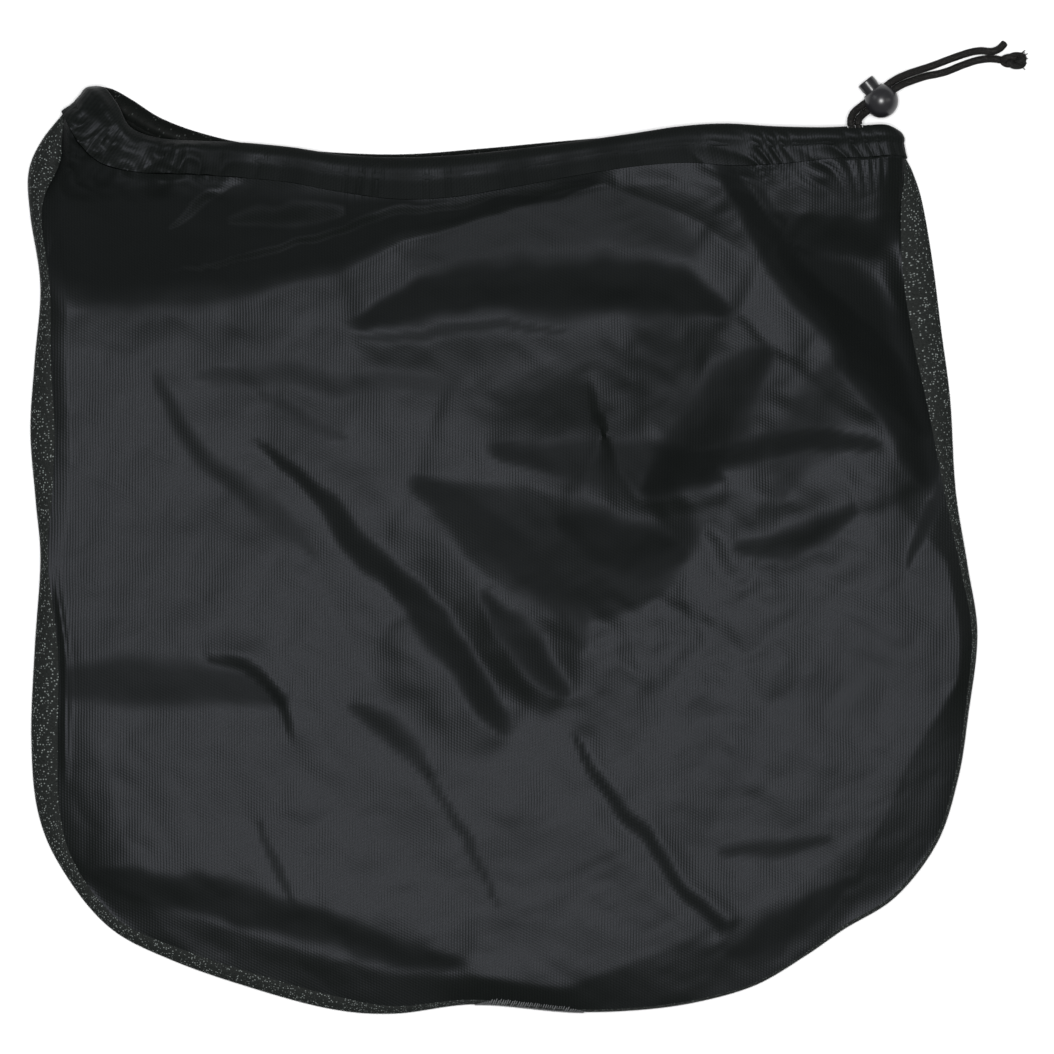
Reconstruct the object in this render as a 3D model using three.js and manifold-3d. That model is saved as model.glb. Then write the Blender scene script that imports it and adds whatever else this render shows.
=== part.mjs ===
// A microfibre drawstring pouch, lying flat with its mouth towards +Y.
// Millimetres, +Z up. The origin is on the table, under the middle of the pouch's outline.
import * as THREE from 'three';
import * as BufferGeometryUtils from 'three/addons/utils/BufferGeometryUtils.js';
import Module from 'manifold-3d';

const wasm = await Module();
wasm.setup();

// Driving dimensions of the pouch
const POUCH_WIDTH = 419; // across the widest place
const POUCH_LENGTH = 409; // from the bottom seam to the top of the gathered corner
const PANEL_CLOTH = 1.2; // wall of the front and back panels
const HEM_CLOTH = 0.9; // wall of the folded hem
const SEAM_GAP = 0.3; // between sewn pieces
const PUFF = 12; // how far the front panel stands above its seams
const MOUTH_LIFT = 14.5; // middle of the front hem above the table
const SEAM_HEIGHT = 9; // the side seams above the table
const RIM_HEIGHT = 4.6; // the widest line of the back panel's turned-up edge
const RIM_TURN = 10; // how far in from the outline the turned-up edge meets the table
const WRAP = 22; // the most that the back panel wraps over onto the front
const SHOULDER = 55; // width of the rounded slope inside the side and bottom seams
const MOUTH_SHOULDER = 60; // width of the slope from the front hem up to the crown
const LANDING = 14; // where the back panel meets the table, below the back hem
const CREASE = 5; // depth of the deepest crease
const SEAM_LEAN = 55; // degrees that the side seam's mitre leans from upright, where nothing wraps
const WRAPPED_LEAN = 15; // degrees that it leans where the back panel wraps well over
const WELL_OVER = 0.5; // the share of WRAP from which that is so
const SLOPE_POWER = 2.2; // how early a rounded slope gains its height; 1 is a straight slope

// Driving dimensions of the drawstring and its lock
const CORD = 3; // diameter
const CORD_CLEARANCE = 0.45; // round the cord, in the hem and in the lock
const BALL = 15; // diameter of the lock's ball
const BUTTON = 8; // diameter of the push button
const BUTTON_PROUD = 3.8; // how far the button stands out of the ball
const BUTTON_TRAVEL = 2.5; // how far it can be pressed
const BUTTON_EDGE = 0.6; // its rounded edge
const BUTTON_CLEARANCE = 0.35; // round the button in its bore
const BUTTON_FLOOR = 1; // the button's wall under its cord slot
const LOCK_TURN = 128.7; // degrees from +X to the button's outward direction
const STRAND_SHIFT = 2; // the cord hole's middle, from the ball's centre towards the button
const KNOT_LENGTH = 11.5;
const KNOT_WIDTH = 8;
const KNOT_HEIGHT = 6.4;
const KNOT_WAIST = 0.16; // how far the knot is drawn in round its middle, as a share of its width
const KNOT_WAIST_SPREAD = 0.14; // half the length of that waist, as a share of the knot's

// Mesh steps
const ARC_STEPS = 4; // round the turned-up edge, from the seam down to the table
const SIDE_STEPS = 26; // along each side seam
const STEPS_PER_ROW = 2; // along the hems, for each row of the mouth table
const CORD_SIDES = 8;
const NUDGE = 0.05; // rows to each side of a place, between which its direction is taken

const hemHalf = CORD / 2 + CORD_CLEARANCE + HEM_CLOTH;
const DEGREE = Math.PI / 180;
const SQUARE = 90; // degrees

// The mouth, once round: the front from left to right, then the back from right to left.
// edge and hem are places on the mouth's edge and on the hem's stitch line, as shares of half the
// width and of the length. lift is 1 for the front hem's height and 0 for lying on the table.
const MOUTH = [
  { edge: [-0.849, 1.000], hem: [-0.924, 0.972], lift: 0.5 },
  { edge: [-0.832, 0.997], hem: [-0.912, 0.959], lift: 1.0 },
  { edge: [-0.807, 0.980], hem: [-0.887, 0.937], lift: 1.05 },
  { edge: [-0.780, 0.956], hem: [-0.838, 0.915], lift: 1.0 },
  { edge: [-0.723, 0.945], hem: [-0.754, 0.906], lift: 0.95 },
  { edge: [-0.645, 0.942], hem: [-0.656, 0.904], lift: 0.95 },
  { edge: [-0.551, 0.940], hem: [-0.555, 0.901], lift: 0.95 },
  { edge: [-0.446, 0.935], hem: [-0.450, 0.896], lift: 0.95 },
  { edge: [-0.341, 0.927], hem: [-0.345, 0.886], lift: 0.95 },
  { edge: [-0.226, 0.924], hem: [-0.226, 0.878], lift: 0.95 },
  { edge: [-0.110, 0.926], hem: [-0.106, 0.880], lift: 0.95 },
  { edge: [0.016, 0.932], hem: [0.026, 0.891], lift: 1.0 },
  { edge: [0.142, 0.940], hem: [0.152, 0.903], lift: 1.0 },
  { edge: [0.268, 0.949], hem: [0.278, 0.913], lift: 1.05 },
  { edge: [0.373, 0.957], hem: [0.385, 0.917], lift: 1.1 },
  { edge: [0.467, 0.960], hem: [0.484, 0.914], lift: 1.05 },
  { edge: [0.572, 0.957], hem: [0.582, 0.916], lift: 1.0 },
  { edge: [0.677, 0.956], hem: [0.687, 0.922], lift: 0.85 },
  { edge: [0.754, 0.958], hem: [0.767, 0.924], lift: 0.75 },
  { edge: [0.805, 0.959], hem: [0.817, 0.926], lift: 0.72 },
  { edge: [0.830, 0.953], hem: [0.849, 0.923], lift: 0.38 },
  { edge: [0.805, 0.956], hem: [0.817, 0.920], lift: 0 },
  { edge: [0.729, 0.953], hem: [0.729, 0.915], lift: 0 },
  { edge: [0.603, 0.953], hem: [0.603, 0.914], lift: 0 },
  { edge: [0.456, 0.956], hem: [0.456, 0.916], lift: 0 },
  { edge: [0.289, 0.949], hem: [0.289, 0.910], lift: 0 },
  { edge: [0.121, 0.942], hem: [0.121, 0.902], lift: 0 },
  { edge: [-0.047, 0.934], hem: [-0.047, 0.895], lift: 0 },
  { edge: [-0.215, 0.928], hem: [-0.215, 0.888], lift: 0 },
  { edge: [-0.383, 0.931], hem: [-0.383, 0.891], lift: 0 },
  { edge: [-0.530, 0.939], hem: [-0.534, 0.899], lift: 0 },
  { edge: [-0.635, 0.951], hem: [-0.656, 0.910], lift: 0 },
  { edge: [-0.719, 0.967], hem: [-0.757, 0.926], lift: 0 },
  { edge: [-0.778, 0.986], hem: [-0.834, 0.944], lift: 0 },
  { edge: [-0.820, 0.998], hem: [-0.903, 0.961], lift: 0 },
];
const LEFT_CORNER = 0; // row of MOUTH where the front hem starts
const RIGHT_CORNER = 20; // row where it ends and the back hem starts
const CORNER_ROWS = 2; // rows that the mouth takes to turn from a corner down to the table
const MITRE_ROWS = 2; // rows of OUTLINE over which the seam's mitre turns upright at a corner
const EXIT_ROW = 17.8; // where the drawstring leaves the front hem

// The pouch's outline, from the mouth's left corner round the bottom to its right corner.
// wrap is how far the back panel reaches over the front, as a share of WRAP, and rise is the
// seam's height as a share of SEAM_HEIGHT.
const OUTLINE = [
  { place: [-0.924, 0.972], wrap: 0.04, rise: 1.0 },
  { place: [-0.971, 0.942], wrap: 0.50, rise: 1.1 },
  { place: [-0.998, 0.908], wrap: 0.66, rise: 1.2 },
  { place: [-0.994, 0.861], wrap: 0.44, rise: 1.2 },
  { place: [-0.973, 0.786], wrap: 0.34, rise: 1.1 },
  { place: [-0.985, 0.705], wrap: 0.44, rise: 1.1 },
  { place: [-0.994, 0.630], wrap: 0.56, rise: 1.1 },
  { place: [-0.983, 0.555], wrap: 0.54, rise: 1.1 },
  { place: [-0.973, 0.490], wrap: 0.48, rise: 1.1 },
  { place: [-0.985, 0.394], wrap: 0.54, rise: 1.1 },
  { place: [-0.992, 0.297], wrap: 0.54, rise: 1.1 },
  { place: [-0.977, 0.216], wrap: 0.44, rise: 1.0 },
  { place: [-0.924, 0.154], wrap: 0.28, rise: 0.95 },
  { place: [-0.828, 0.094], wrap: 0.24, rise: 0.9 },
  { place: [-0.698, 0.059], wrap: 0.28, rise: 0.9 },
  { place: [-0.530, 0.029], wrap: 0.30, rise: 0.9 },
  { place: [-0.362, 0.006], wrap: 0.28, rise: 0.85 },
  { place: [-0.226, 0.001], wrap: 0.16, rise: 0.85 },
  { place: [-0.058, 0.011], wrap: 0.10, rise: 0.8 },
  { place: [0.142, 0.003], wrap: 0.06, rise: 0.75 },
  { place: [0.289, 0.005], wrap: 0.06, rise: 0.75 },
  { place: [0.414, 0.014], wrap: 0.06, rise: 0.75 },
  { place: [0.534, 0.032], wrap: 0.06, rise: 0.75 },
  { place: [0.637, 0.063], wrap: 0.06, rise: 0.75 },
  { place: [0.719, 0.092], wrap: 0.08, rise: 0.75 },
  { place: [0.828, 0.127], wrap: 0.08, rise: 0.75 },
  { place: [0.916, 0.186], wrap: 0.08, rise: 0.75 },
  { place: [0.960, 0.256], wrap: 0.08, rise: 0.8 },
  { place: [0.981, 0.324], wrap: 0.08, rise: 0.8 },
  { place: [1.000, 0.410], wrap: 0.12, rise: 0.85 },
  { place: [0.979, 0.485], wrap: 0.16, rise: 0.9 },
  { place: [0.954, 0.566], wrap: 0.24, rise: 0.9 },
  { place: [0.943, 0.662], wrap: 0.48, rise: 1.0 },
  { place: [0.924, 0.738], wrap: 0.60, rise: 1.1 },
  { place: [0.906, 0.811], wrap: 0.62, rise: 1.1 },
  { place: [0.884, 0.876], wrap: 0.44, rise: 1.05 },
  { place: [0.864, 0.908], wrap: 0.20, rise: 0.95 },
  { place: [0.849, 0.923], wrap: 0.04, rise: 0.9 },
];
const LEFT_BEND = 12.7; // row of OUTLINE where the left seam becomes the bottom one
const RIGHT_BEND = 25.3; // row where the bottom seam becomes the right one
const lastOutline = OUTLINE.length - 1;

// Creases and ridges of the front panel. from and to are places, bow is how far the middle of the
// line swings to the left of its way, spread is its half width, both as shares of the length, and
// deep is its depth as a share of CREASE, below zero for a ridge.
const FOLDS = [
  { from: [-0.335, 0.739], to: [0.440, 0.760], bow: 0.053, spread: 0.020, deep: 1.0 },
  { from: [0.454, 0.933], to: [0.899, 0.629], bow: -0.010, spread: 0.022, deep: 1.0 },
  { from: [-0.519, 0.616], to: [0.018, 0.305], bow: 0.010, spread: 0.022, deep: 1.0 },
  { from: [-0.039, 0.428], to: [0.102, 0.363], bow: 0, spread: 0.016, deep: 0.5 },
  { from: [0.121, 0.576], to: [0.184, 0.404], bow: 0, spread: 0.045, deep: 0.5 },
  { from: [0.511, 0.500], to: [0.738, 0.537], bow: -0.007, spread: 0.016, deep: 0.5 },
  { from: [0.158, 0.295], to: [0.454, 0.096], bow: 0, spread: 0.012, deep: 0.5 },
  { from: [-0.717, 0.696], to: [-0.391, 0.494], bow: 0, spread: 0.016, deep: 0.3 },
  { from: [-0.293, 0.313], to: [-0.012, 0.125], bow: 0.007, spread: 0.018, deep: 0.5 },
  { from: [-0.618, 0.380], to: [-0.448, 0.305], bow: 0, spread: 0.012, deep: 0.4 },
  { from: [-0.694, 0.802], to: [0.173, 0.901], bow: 0.010, spread: 0.016, deep: -0.4 },
  { from: [0.425, 0.838], to: [0.736, 0.698], bow: 0, spread: 0.016, deep: -0.5 },
  { from: [-0.293, 0.580], to: [0.131, 0.377], bow: 0, spread: 0.018, deep: -0.6 },
  { from: [0.496, 0.523], to: [0.738, 0.601], bow: 0, spread: 0.016, deep: -0.5 },
  { from: [0.498, 0.902], to: [0.574, 0.849], bow: 0, spread: 0.014, deep: -0.4 },
  { from: [0.580, 0.887], to: [0.826, 0.880], bow: -0.019, spread: 0.016, deep: -0.4 },
];

// The hem's gathers: lumps that swell its outer face, by rows of MOUTH.
const GATHERS = [
  { row: 1.2, spread: 0.5, swell: 0.5 },
  { row: 2.6, spread: 0.5, swell: 0.35 },
  { row: 4.2, spread: 0.6, swell: 0.3 },
  { row: 6.0, spread: 0.7, swell: 0.25 },
  { row: 9.4, spread: 0.5, swell: 0.2 },
  { row: 14.6, spread: 0.5, swell: 0.25 },
  { row: 16.2, spread: 0.5, swell: 0.2 },
];

// The two free strands from the hem to their ends, chosen by hand: x and y from the ball's centre,
// z above the table.
const LOCK_PLACE = [11.7, 11.2]; // the ball's centre, in x and y from the drawstring's exit
const STRAND_A = [
  [-13.38, -11.2, 11.87], [-13.58, -10.2, 11.85], [-13.6, -8.8, 11.3], [-13.1, -7.0, 10.4],
  [-12.1, -5.2, 9.3], [-10.7, -3.8, 8.2], [-8.91, -2.46, 7.5], [-7.74, -1.53, 7.5], [-6.18, -0.28, 7.5],
  [-2.28, 2.85, 7.5], [1.62, 5.98, 7.5], [3.18, 7.23, 7.5], [4.35, 8.16, 7.5], [7.4, 10.0, 7.0],
  [12.4, 12.2, 5.5], [17.6, 14.0, 3.6], [23.1, 15.9, 2.2], [32.3, 19.4, 1.7], [39.5, 21.7, 2.4],
  [44.1, 22.3, 4.1], [48.7, 21.9, 4.9], [52.2, 23.2, 3.9], [54.6, 25.6, 2.2],
];
const STRAND_B = [
  [-10.14, -10.58, 11.65], [-10.33, -9.6, 11.62], [-10.2, -8.7, 11.1], [-9.7, -7.7, 10.2],
  [-8.9, -6.8, 9.2], [-8.0, -5.9, 8.2], [-6.85, -5.04, 7.5], [-5.68, -4.1, 7.5], [-4.12, -2.85, 7.5],
  [-0.22, 0.27, 7.5], [3.68, 3.4, 7.5], [5.24, 4.65, 7.5], [6.41, 5.58, 7.5], [9.6, 7.4, 6.6],
  [14.6, 9.4, 4.2], [20.0, 11.2, 2.3], [25.5, 12.3, 1.7], [30.0, 13.6, 1.6], [35.6, 15.9, 1.6],
  [42.1, 18.1, 1.6], [47.4, 18.9, 1.8], [50.4, 18.8, 2.3], [52.9, 18.4, 2.9],
];
const KNOT_PLACE = [58.9, 18.0]; // the knot's middle, in x and y from the ball's centre
const KNOT_TURN = -4; // degrees

const mix = (a, b, share) => a + (b - a) * share;
const plan = ([across, along]) => [across * POUCH_WIDTH / 2, (along - 0.5) * POUCH_LENGTH];

// A smooth line through rows of numbers at a row number t: cubic pieces whose slope at a row is
// half the step between its neighbours. A closed list runs on from its last row to its first.
function through(rows, t, closed = false) {
  const count = rows.length;
  const row = (i) => rows[closed ? (i + count) % count : Math.min(Math.max(i, 0), count - 1)];
  const i = closed ? Math.floor(t) : Math.min(Math.floor(t), count - 2);
  const s = t - i;
  return row(i).map((_, k) => {
    const [a, b, c, d] = [row(i - 1)[k], row(i)[k], row(i + 1)[k], row(i + 2)[k]];
    const [m, n] = [(c - a) / 2, (d - b) / 2];
    return b + s * (m + s * (3 * (c - b) - 2 * m - n + s * (2 * (b - c) + m + n)));
  });
}

// The mouth ring: edge, hem and frame at a row number of MOUTH
const liftHeight = (lift) => hemHalf + lift * (MOUTH_LIFT - hemHalf);
const mouthRows = MOUTH.map(({ edge, hem, lift }) => [
  ...plan(edge), liftHeight(lift), ...plan(hem), liftHeight(lift)]);

function mouthAt(t) {
  const split = (v) => [new THREE.Vector3(v[0], v[1], v[2]), new THREE.Vector3(v[3], v[4], v[5])];
  const [edge, hem] = split(through(mouthRows, t, true));
  edge.z = Math.max(edge.z, hemHalf);
  hem.z = Math.max(hem.z, hemHalf);
  const [edgeOn, hemOn] = split(through(mouthRows, t + NUDGE, true));
  const [edgeBack, hemBack] = split(through(mouthRows, t - NUDGE, true));
  const way = edgeOn.add(hemOn).sub(edgeBack).sub(hemBack).normalize();
  const down = hem.clone().sub(edge);
  const depth = down.length();
  down.normalize();
  const out = down.clone().cross(way).normalize();
  return { edge, hem, depth, down, out, way: out.clone().cross(down) };
}

function swellAt(t) {
  return GATHERS.reduce((sum, { row, spread, swell }) => (
    sum + swell * Math.exp(-(((t - row) / spread) ** 2))), 0);
}

// A body from an outer skin: the skin is copied inwards by the wall along its normals, and the
// open edge between the two is closed. Normals given by the caller win over the skin's own.
function walled(points, faces, wall, given) {
  const count = points.length;
  const normals = points.map(() => new THREE.Vector3());
  for (const [a, b, c] of faces) {
    const normal = points[b].clone().sub(points[a]).cross(points[c].clone().sub(points[a]));
    normals[a].add(normal);
    normals[b].add(normal);
    normals[c].add(normal);
  }
  const inner = points.map((point, i) => {
    const normal = given.get(i) ?? normals[i].normalize();
    return point.clone().addScaledVector(normal, -wall);
  });
  const all = [...faces];
  const uses = new Set(faces.flatMap(([a, b, c]) => [`${a},${b}`, `${b},${c}`, `${c},${a}`]));
  for (const [a, b, c] of faces) {
    all.push([a + count, c + count, b + count]);
    for (const [p, q] of [[a, b], [b, c], [c, a]]) {
      if (!uses.has(`${q},${p}`)) {
        all.push([q, p, p + count], [q, p + count, q + count]);
      }
    }
  }
  return bodyOf([...points, ...inner], all);
}

// A geometry from points and triangles, turned inside out if its volume comes out negative.
function bodyOf(points, faces) {
  let volume = 0;
  for (const [a, b, c] of faces) {
    volume += points[a].dot(points[b].clone().cross(points[c]));
  }
  const turned = volume < 0 ? faces.map(([a, b, c]) => [a, c, b]) : faces;
  const geometry = new THREE.BufferGeometry();
  const places = new Float32Array(points.flatMap((p) => [p.x, p.y, p.z]));
  geometry.setAttribute('position', new THREE.BufferAttribute(places, 3));
  geometry.setIndex(turned.flat());
  return geometry;
}

const quad = (a, b, c, d) => [[a, b, c], [a, c, d]];

// Cutting with manifold-3d
function solidOf(geometry) {
  const bare = geometry.clone();
  bare.deleteAttribute('normal');
  bare.deleteAttribute('uv');
  const merged = BufferGeometryUtils.mergeVertices(bare);
  return new wasm.Manifold(new wasm.Mesh({
    numProp: 3,
    vertProperties: new Float32Array(merged.attributes.position.array),
    triVerts: new Uint32Array(merged.index.array),
  }));
}

function geometryOf(solid) {
  const mesh = solid.getMesh();
  const geometry = new THREE.BufferGeometry();
  geometry.setAttribute('position', new THREE.BufferAttribute(mesh.vertProperties, 3));
  geometry.setIndex(new THREE.BufferAttribute(mesh.triVerts, 1));
  return geometry;
}

// Hems: a tunnel whose section is an eye round the cord, drawn out to the two stitched layers
const EYE_SHARE = 0.26; // half the tunnel's length in the section, as a share of the hem's depth
const SECTION_SIDES = 8; // 0 at the folded edge, then over the outer face
const TAIL_SIDE = SECTION_SIDES / 2; // the side in the middle of the stitched end

function hemBody(start, end) {
  const steps = Math.round((end - start) * STEPS_PER_ROW);
  const points = [];
  for (let i = 0; i <= steps; i += 1) {
    const t = mix(start, end, i / steps);
    const frame = mouthAt(t);
    const shift = i === 0 ? SEAM_GAP / 2 : i === steps ? -SEAM_GAP / 2 : 0;
    const eyeLong = Math.max(EYE_SHARE * frame.depth, CORD / 2 + CORD_CLEARANCE);
    const eyeHalf = CORD / 2 + CORD_CLEARANCE;
    const middle = HEM_CLOTH + eyeLong;
    const swell = 1 + swellAt(t);
    for (const outer of [true, false]) {
      for (let j = 0; j < SECTION_SIDES; j += 1) {
        const angle = (j / SECTION_SIDES) * 2 * Math.PI;
        const wall = outer ? HEM_CLOTH : 0;
        let along = middle - (eyeLong + wall) * Math.cos(angle);
        let up = (eyeHalf + wall) * Math.sin(angle);
        if (outer && Math.abs(j - TAIL_SIDE) < 2) {
          along = frame.depth - SEAM_GAP / 2;
          up = (TAIL_SIDE - j) * HEM_CLOTH;
        } else if (outer && j > 0 && j < TAIL_SIDE) {
          up *= swell;
        }
        points.push(frame.edge.clone()
          .addScaledVector(frame.down, along)
          .addScaledVector(frame.out, up)
          .addScaledVector(frame.way, shift));
      }
    }
  }
  const at = (i, outer, j) => (i * 2 + (outer ? 0 : 1)) * SECTION_SIDES + (j % SECTION_SIDES);
  const faces = [];
  for (let j = 0; j < SECTION_SIDES; j += 1) {
    for (let i = 0; i < steps; i += 1) {
      faces.push(...quad(at(i, true, j), at(i, true, j + 1),
        at(i + 1, true, j + 1), at(i + 1, true, j)));
      faces.push(...quad(at(i, false, j + 1), at(i, false, j),
        at(i + 1, false, j), at(i + 1, false, j + 1)));
    }
    faces.push(...quad(at(0, false, j), at(0, false, j + 1), at(0, true, j + 1), at(0, true, j)));
    faces.push(...quad(at(steps, true, j), at(steps, true, j + 1),
      at(steps, false, j + 1), at(steps, false, j)));
  }
  return bodyOf(points, faces);
}

// The front panel: a patch stretched between its hem line and its seams, puffed and creased
const slope = (distance, width) => (
  1 - (1 - Math.min(Math.max(distance / width, 0), 1)) ** SLOPE_POWER);
const ease = (share) => {
  const s = Math.min(Math.max(share, 0), 1);
  return s * s * (3 - 2 * s);
};
const FOLD_END = 0.16; // the share of a crease's length over which it fades out at each end

function foldsAt(x, y) {
  return FOLDS.reduce((sum, { from, to, bow, spread, deep }) => {
    const [ax, ay] = plan(from);
    const [bx, by] = plan(to);
    const length = Math.hypot(bx - ax, by - ay);
    const [ux, uy] = [(bx - ax) / length, (by - ay) / length];
    const s = ((x - ax) * ux + (y - ay) * uy) / length;
    const aside = (y - ay) * ux - (x - ax) * uy - 4 * s * (1 - s) * bow * POUCH_LENGTH;
    const fade = ease(s / FOLD_END) * ease((1 - s) / FOLD_END);
    return sum - deep * CREASE * fade * Math.exp(-((aside / (spread * POUCH_LENGTH)) ** 2));
  }, 0);
}

const outlineRows = OUTLINE.map(({ place, wrap, rise }) => [...plan(place), wrap * WRAP, rise]);

// The outline, the seam and the seam's mitre at a row number of OUTLINE
function seamAt(t) {
  const [x, y, wrap, rise] = through(outlineRows, t);
  const on = through(outlineRows, Math.min(t + NUDGE, lastOutline));
  const back = through(outlineRows, Math.max(t - NUDGE, 0));
  const out = new THREE.Vector3(on[1] - back[1], back[0] - on[0], 0).normalize();
  const corner = Math.max(ease(1 - t / MITRE_ROWS), ease(1 - (lastOutline - t) / MITRE_ROWS));
  const along = mix(SEAM_LEAN, WRAPPED_LEAN, ease(wrap / WRAP / WELL_OVER));
  const lean = mix(along, SQUARE, corner) * DEGREE;
  const height = rise * SEAM_HEIGHT;
  const rim = new THREE.Vector3(x, y, 0);
  const seam = rim.clone().addScaledVector(out, -wrap).setZ(height);
  const normal = out.clone().multiplyScalar(Math.sin(lean)).setZ(Math.cos(lean));
  const across = out.clone().multiplyScalar(-Math.cos(lean)).setZ(Math.sin(lean));
  return { rim, out, wrap, height, seam, normal, across };
}

// A panel's edge along the hem: its outer face there, and the normal
function hemEdgeAt(t, shift = 0) {
  const frame = mouthAt(t);
  const point = frame.edge.clone()
    .addScaledVector(frame.down, frame.depth + SEAM_GAP / 2)
    .addScaledVector(frame.out, PANEL_CLOTH / 2)
    .addScaledVector(frame.way, shift);
  return { point, normal: frame.out };
}

const FRONT_STEPS = (RIGHT_CORNER - LEFT_CORNER) * STEPS_PER_ROW;

function frontPanel() {
  const seamEdge = (t) => {
    const { seam, normal, across } = seamAt(t);
    return { point: seam.clone().addScaledVector(across, SEAM_GAP / 2), normal };
  };
  const top = [];
  const bottom = [];
  for (let i = 0; i <= FRONT_STEPS; i += 1) {
    const shift = i === 0 ? SEAM_GAP / 2 : i === FRONT_STEPS ? -SEAM_GAP / 2 : 0;
    top.push(hemEdgeAt(mix(LEFT_CORNER, RIGHT_CORNER, i / FRONT_STEPS), shift));
    bottom.push(seamEdge(mix(LEFT_BEND, RIGHT_BEND, i / FRONT_STEPS)));
  }
  const left = [];
  const right = [];
  for (let j = 0; j <= SIDE_STEPS; j += 1) {
    left.push(seamEdge(mix(LEFT_BEND, 0, j / SIDE_STEPS)));
    right.push(seamEdge(mix(RIGHT_BEND, lastOutline, j / SIDE_STEPS)));
  }
  left[SIDE_STEPS] = top[0];
  right[SIDE_STEPS] = top[FRONT_STEPS];
  const points = [];
  const given = new Map();
  const faces = [];
  const at = (i, j) => j * (FRONT_STEPS + 1) + i;
  for (let j = 0; j <= SIDE_STEPS; j += 1) {
    for (let i = 0; i <= FRONT_STEPS; i += 1) {
      const [u, v] = [i / FRONT_STEPS, j / SIDE_STEPS];
      const patch = ['x', 'y', 'z'].map((k) => (
        mix(left[j].point[k], right[j].point[k], u) + mix(bottom[i].point[k], top[i].point[k], v)
        - mix(mix(bottom[0].point[k], bottom[FRONT_STEPS].point[k], u),
          mix(top[0].point[k], top[FRONT_STEPS].point[k], u), v)));
      const [x, y] = patch;
      const inside = slope(x - left[j].point.x, SHOULDER) * slope(right[j].point.x - x, SHOULDER)
        * slope(y - bottom[i].point.y, SHOULDER) * slope(top[i].point.y - y, MOUTH_SHOULDER);
      const onEdge = i === 0 || i === FRONT_STEPS || j === 0 || j === SIDE_STEPS;
      const raised = onEdge ? 0 : inside * (PUFF + foldsAt(x, y));
      points.push(new THREE.Vector3(x, y, patch[2] + raised));
      const edge = [[i === 0, left[j]], [i === FRONT_STEPS, right[j]],
        [j === 0, bottom[i]], [j === SIDE_STEPS, top[i]]].find(([on]) => on);
      if (edge) {
        given.set(at(i, j), edge[1].normal);
      }
      if (i < FRONT_STEPS && j < SIDE_STEPS) {
        faces.push(...quad(at(i, j), at(i + 1, j), at(i + 1, j + 1), at(i, j + 1)));
      }
    }
  }
  return walled(points, faces, PANEL_CLOTH, given);
}

// The back panel: flat on the table, turned up round the outline and over to the seams
function backPanel() {
  const points = [];
  const given = new Map();
  const faces = [];
  const add = (point, normal) => {
    if (normal) {
      given.set(points.length, normal);
    }
    return points.push(point) - 1;
  };
  const rowStops = [
    ...Array.from({ length: SIDE_STEPS }, (_, i) => mix(0, LEFT_BEND, i / SIDE_STEPS)),
    ...Array.from({ length: FRONT_STEPS }, (_, i) => mix(LEFT_BEND, RIGHT_BEND, i / FRONT_STEPS)),
    ...Array.from({ length: SIDE_STEPS + 1 }, (_, i) => (
      mix(RIGHT_BEND, lastOutline, i / SIDE_STEPS))),
  ];
  const last = rowStops.length - 1;
  const turn = rowStops.map((t, i) => {
    const { rim, out, wrap, height, seam, normal, across } = seamAt(t);
    return Array.from({ length: ARC_STEPS + 1 }, (_, k) => {
      if (i === 0 || i === last) {
        const way = i === 0 ? -1 : 1;
        const start = i === 0 ? LEFT_CORNER : RIGHT_CORNER;
        const shift = k === 0 ? way * SEAM_GAP / 2 : 0;
        const edge = hemEdgeAt(start + way * CORNER_ROWS * k / ARC_STEPS, shift);
        return add(edge.point, edge.normal);
      }
      if (k === 0) {
        return add(seam.clone().addScaledVector(across, -SEAM_GAP / 2), normal);
      }
      const angle = (0.5 - k / ARC_STEPS) * Math.PI;
      const reach = angle > 0 ? wrap : RIM_TURN;
      const rise = angle > 0 ? height - RIM_HEIGHT : RIM_HEIGHT;
      return add(rim.clone().addScaledVector(out, -reach * (1 - Math.cos(angle)))
        .setZ(RIM_HEIGHT + rise * Math.sin(angle)));
    });
  });
  for (let i = 0; i < last; i += 1) {
    for (let k = 0; k < ARC_STEPS; k += 1) {
      faces.push(...quad(turn[i][k], turn[i][k + 1], turn[i + 1][k + 1], turn[i + 1][k]));
    }
  }
  const firstRow = MOUTH.length - CORNER_ROWS;
  const lastRow = RIGHT_CORNER + CORNER_ROWS;
  const mouthSteps = (firstRow - lastRow) * STEPS_PER_ROW;
  const hemLine = [];
  const landing = [];
  for (let i = 0; i <= mouthSteps; i += 1) {
    const t = mix(firstRow, lastRow, i / mouthSteps);
    if (i === 0 || i === mouthSteps) {
      hemLine.push(turn[i === 0 ? 0 : last][ARC_STEPS]);
      landing.push(turn[i === 0 ? 1 : last - 1][ARC_STEPS]);
    } else {
      const { point, normal } = hemEdgeAt(t);
      hemLine.push(add(point, normal));
      landing.push(add(point.clone().addScaledVector(mouthAt(t).down, LANDING).setZ(0)));
    }
  }
  for (let i = 0; i < mouthSteps; i += 1) {
    faces.push(...quad(hemLine[i], hemLine[i + 1], landing[i + 1], landing[i]));
  }
  const floor = [...turn.slice(1, last).map((arc) => arc[ARC_STEPS]),
    ...landing.slice(1, -1).reverse()];
  const contour = floor.map((i) => new THREE.Vector2(points[i].x, points[i].y));
  for (const [a, b, c] of THREE.ShapeUtils.triangulateShape(contour, [])) {
    faces.push([floor[a], floor[c], floor[b]]);
  }
  return walled(points, faces, PANEL_CLOTH, given);
}

// Cords: a round section carried along a route through its points
class Route extends THREE.Curve {
  constructor(points) {
    super();
    this.points = points;
  }

  getPoint(t, target = new THREE.Vector3()) {
    return target.set(...through(this.points, t * (this.points.length - 1)));
  }
}

// A route whose steps fall on its own points, so that it keeps to the middle of the hems
class SteppedRoute extends Route {
  getUtoTmapping(u) {
    return u;
  }
}

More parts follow.
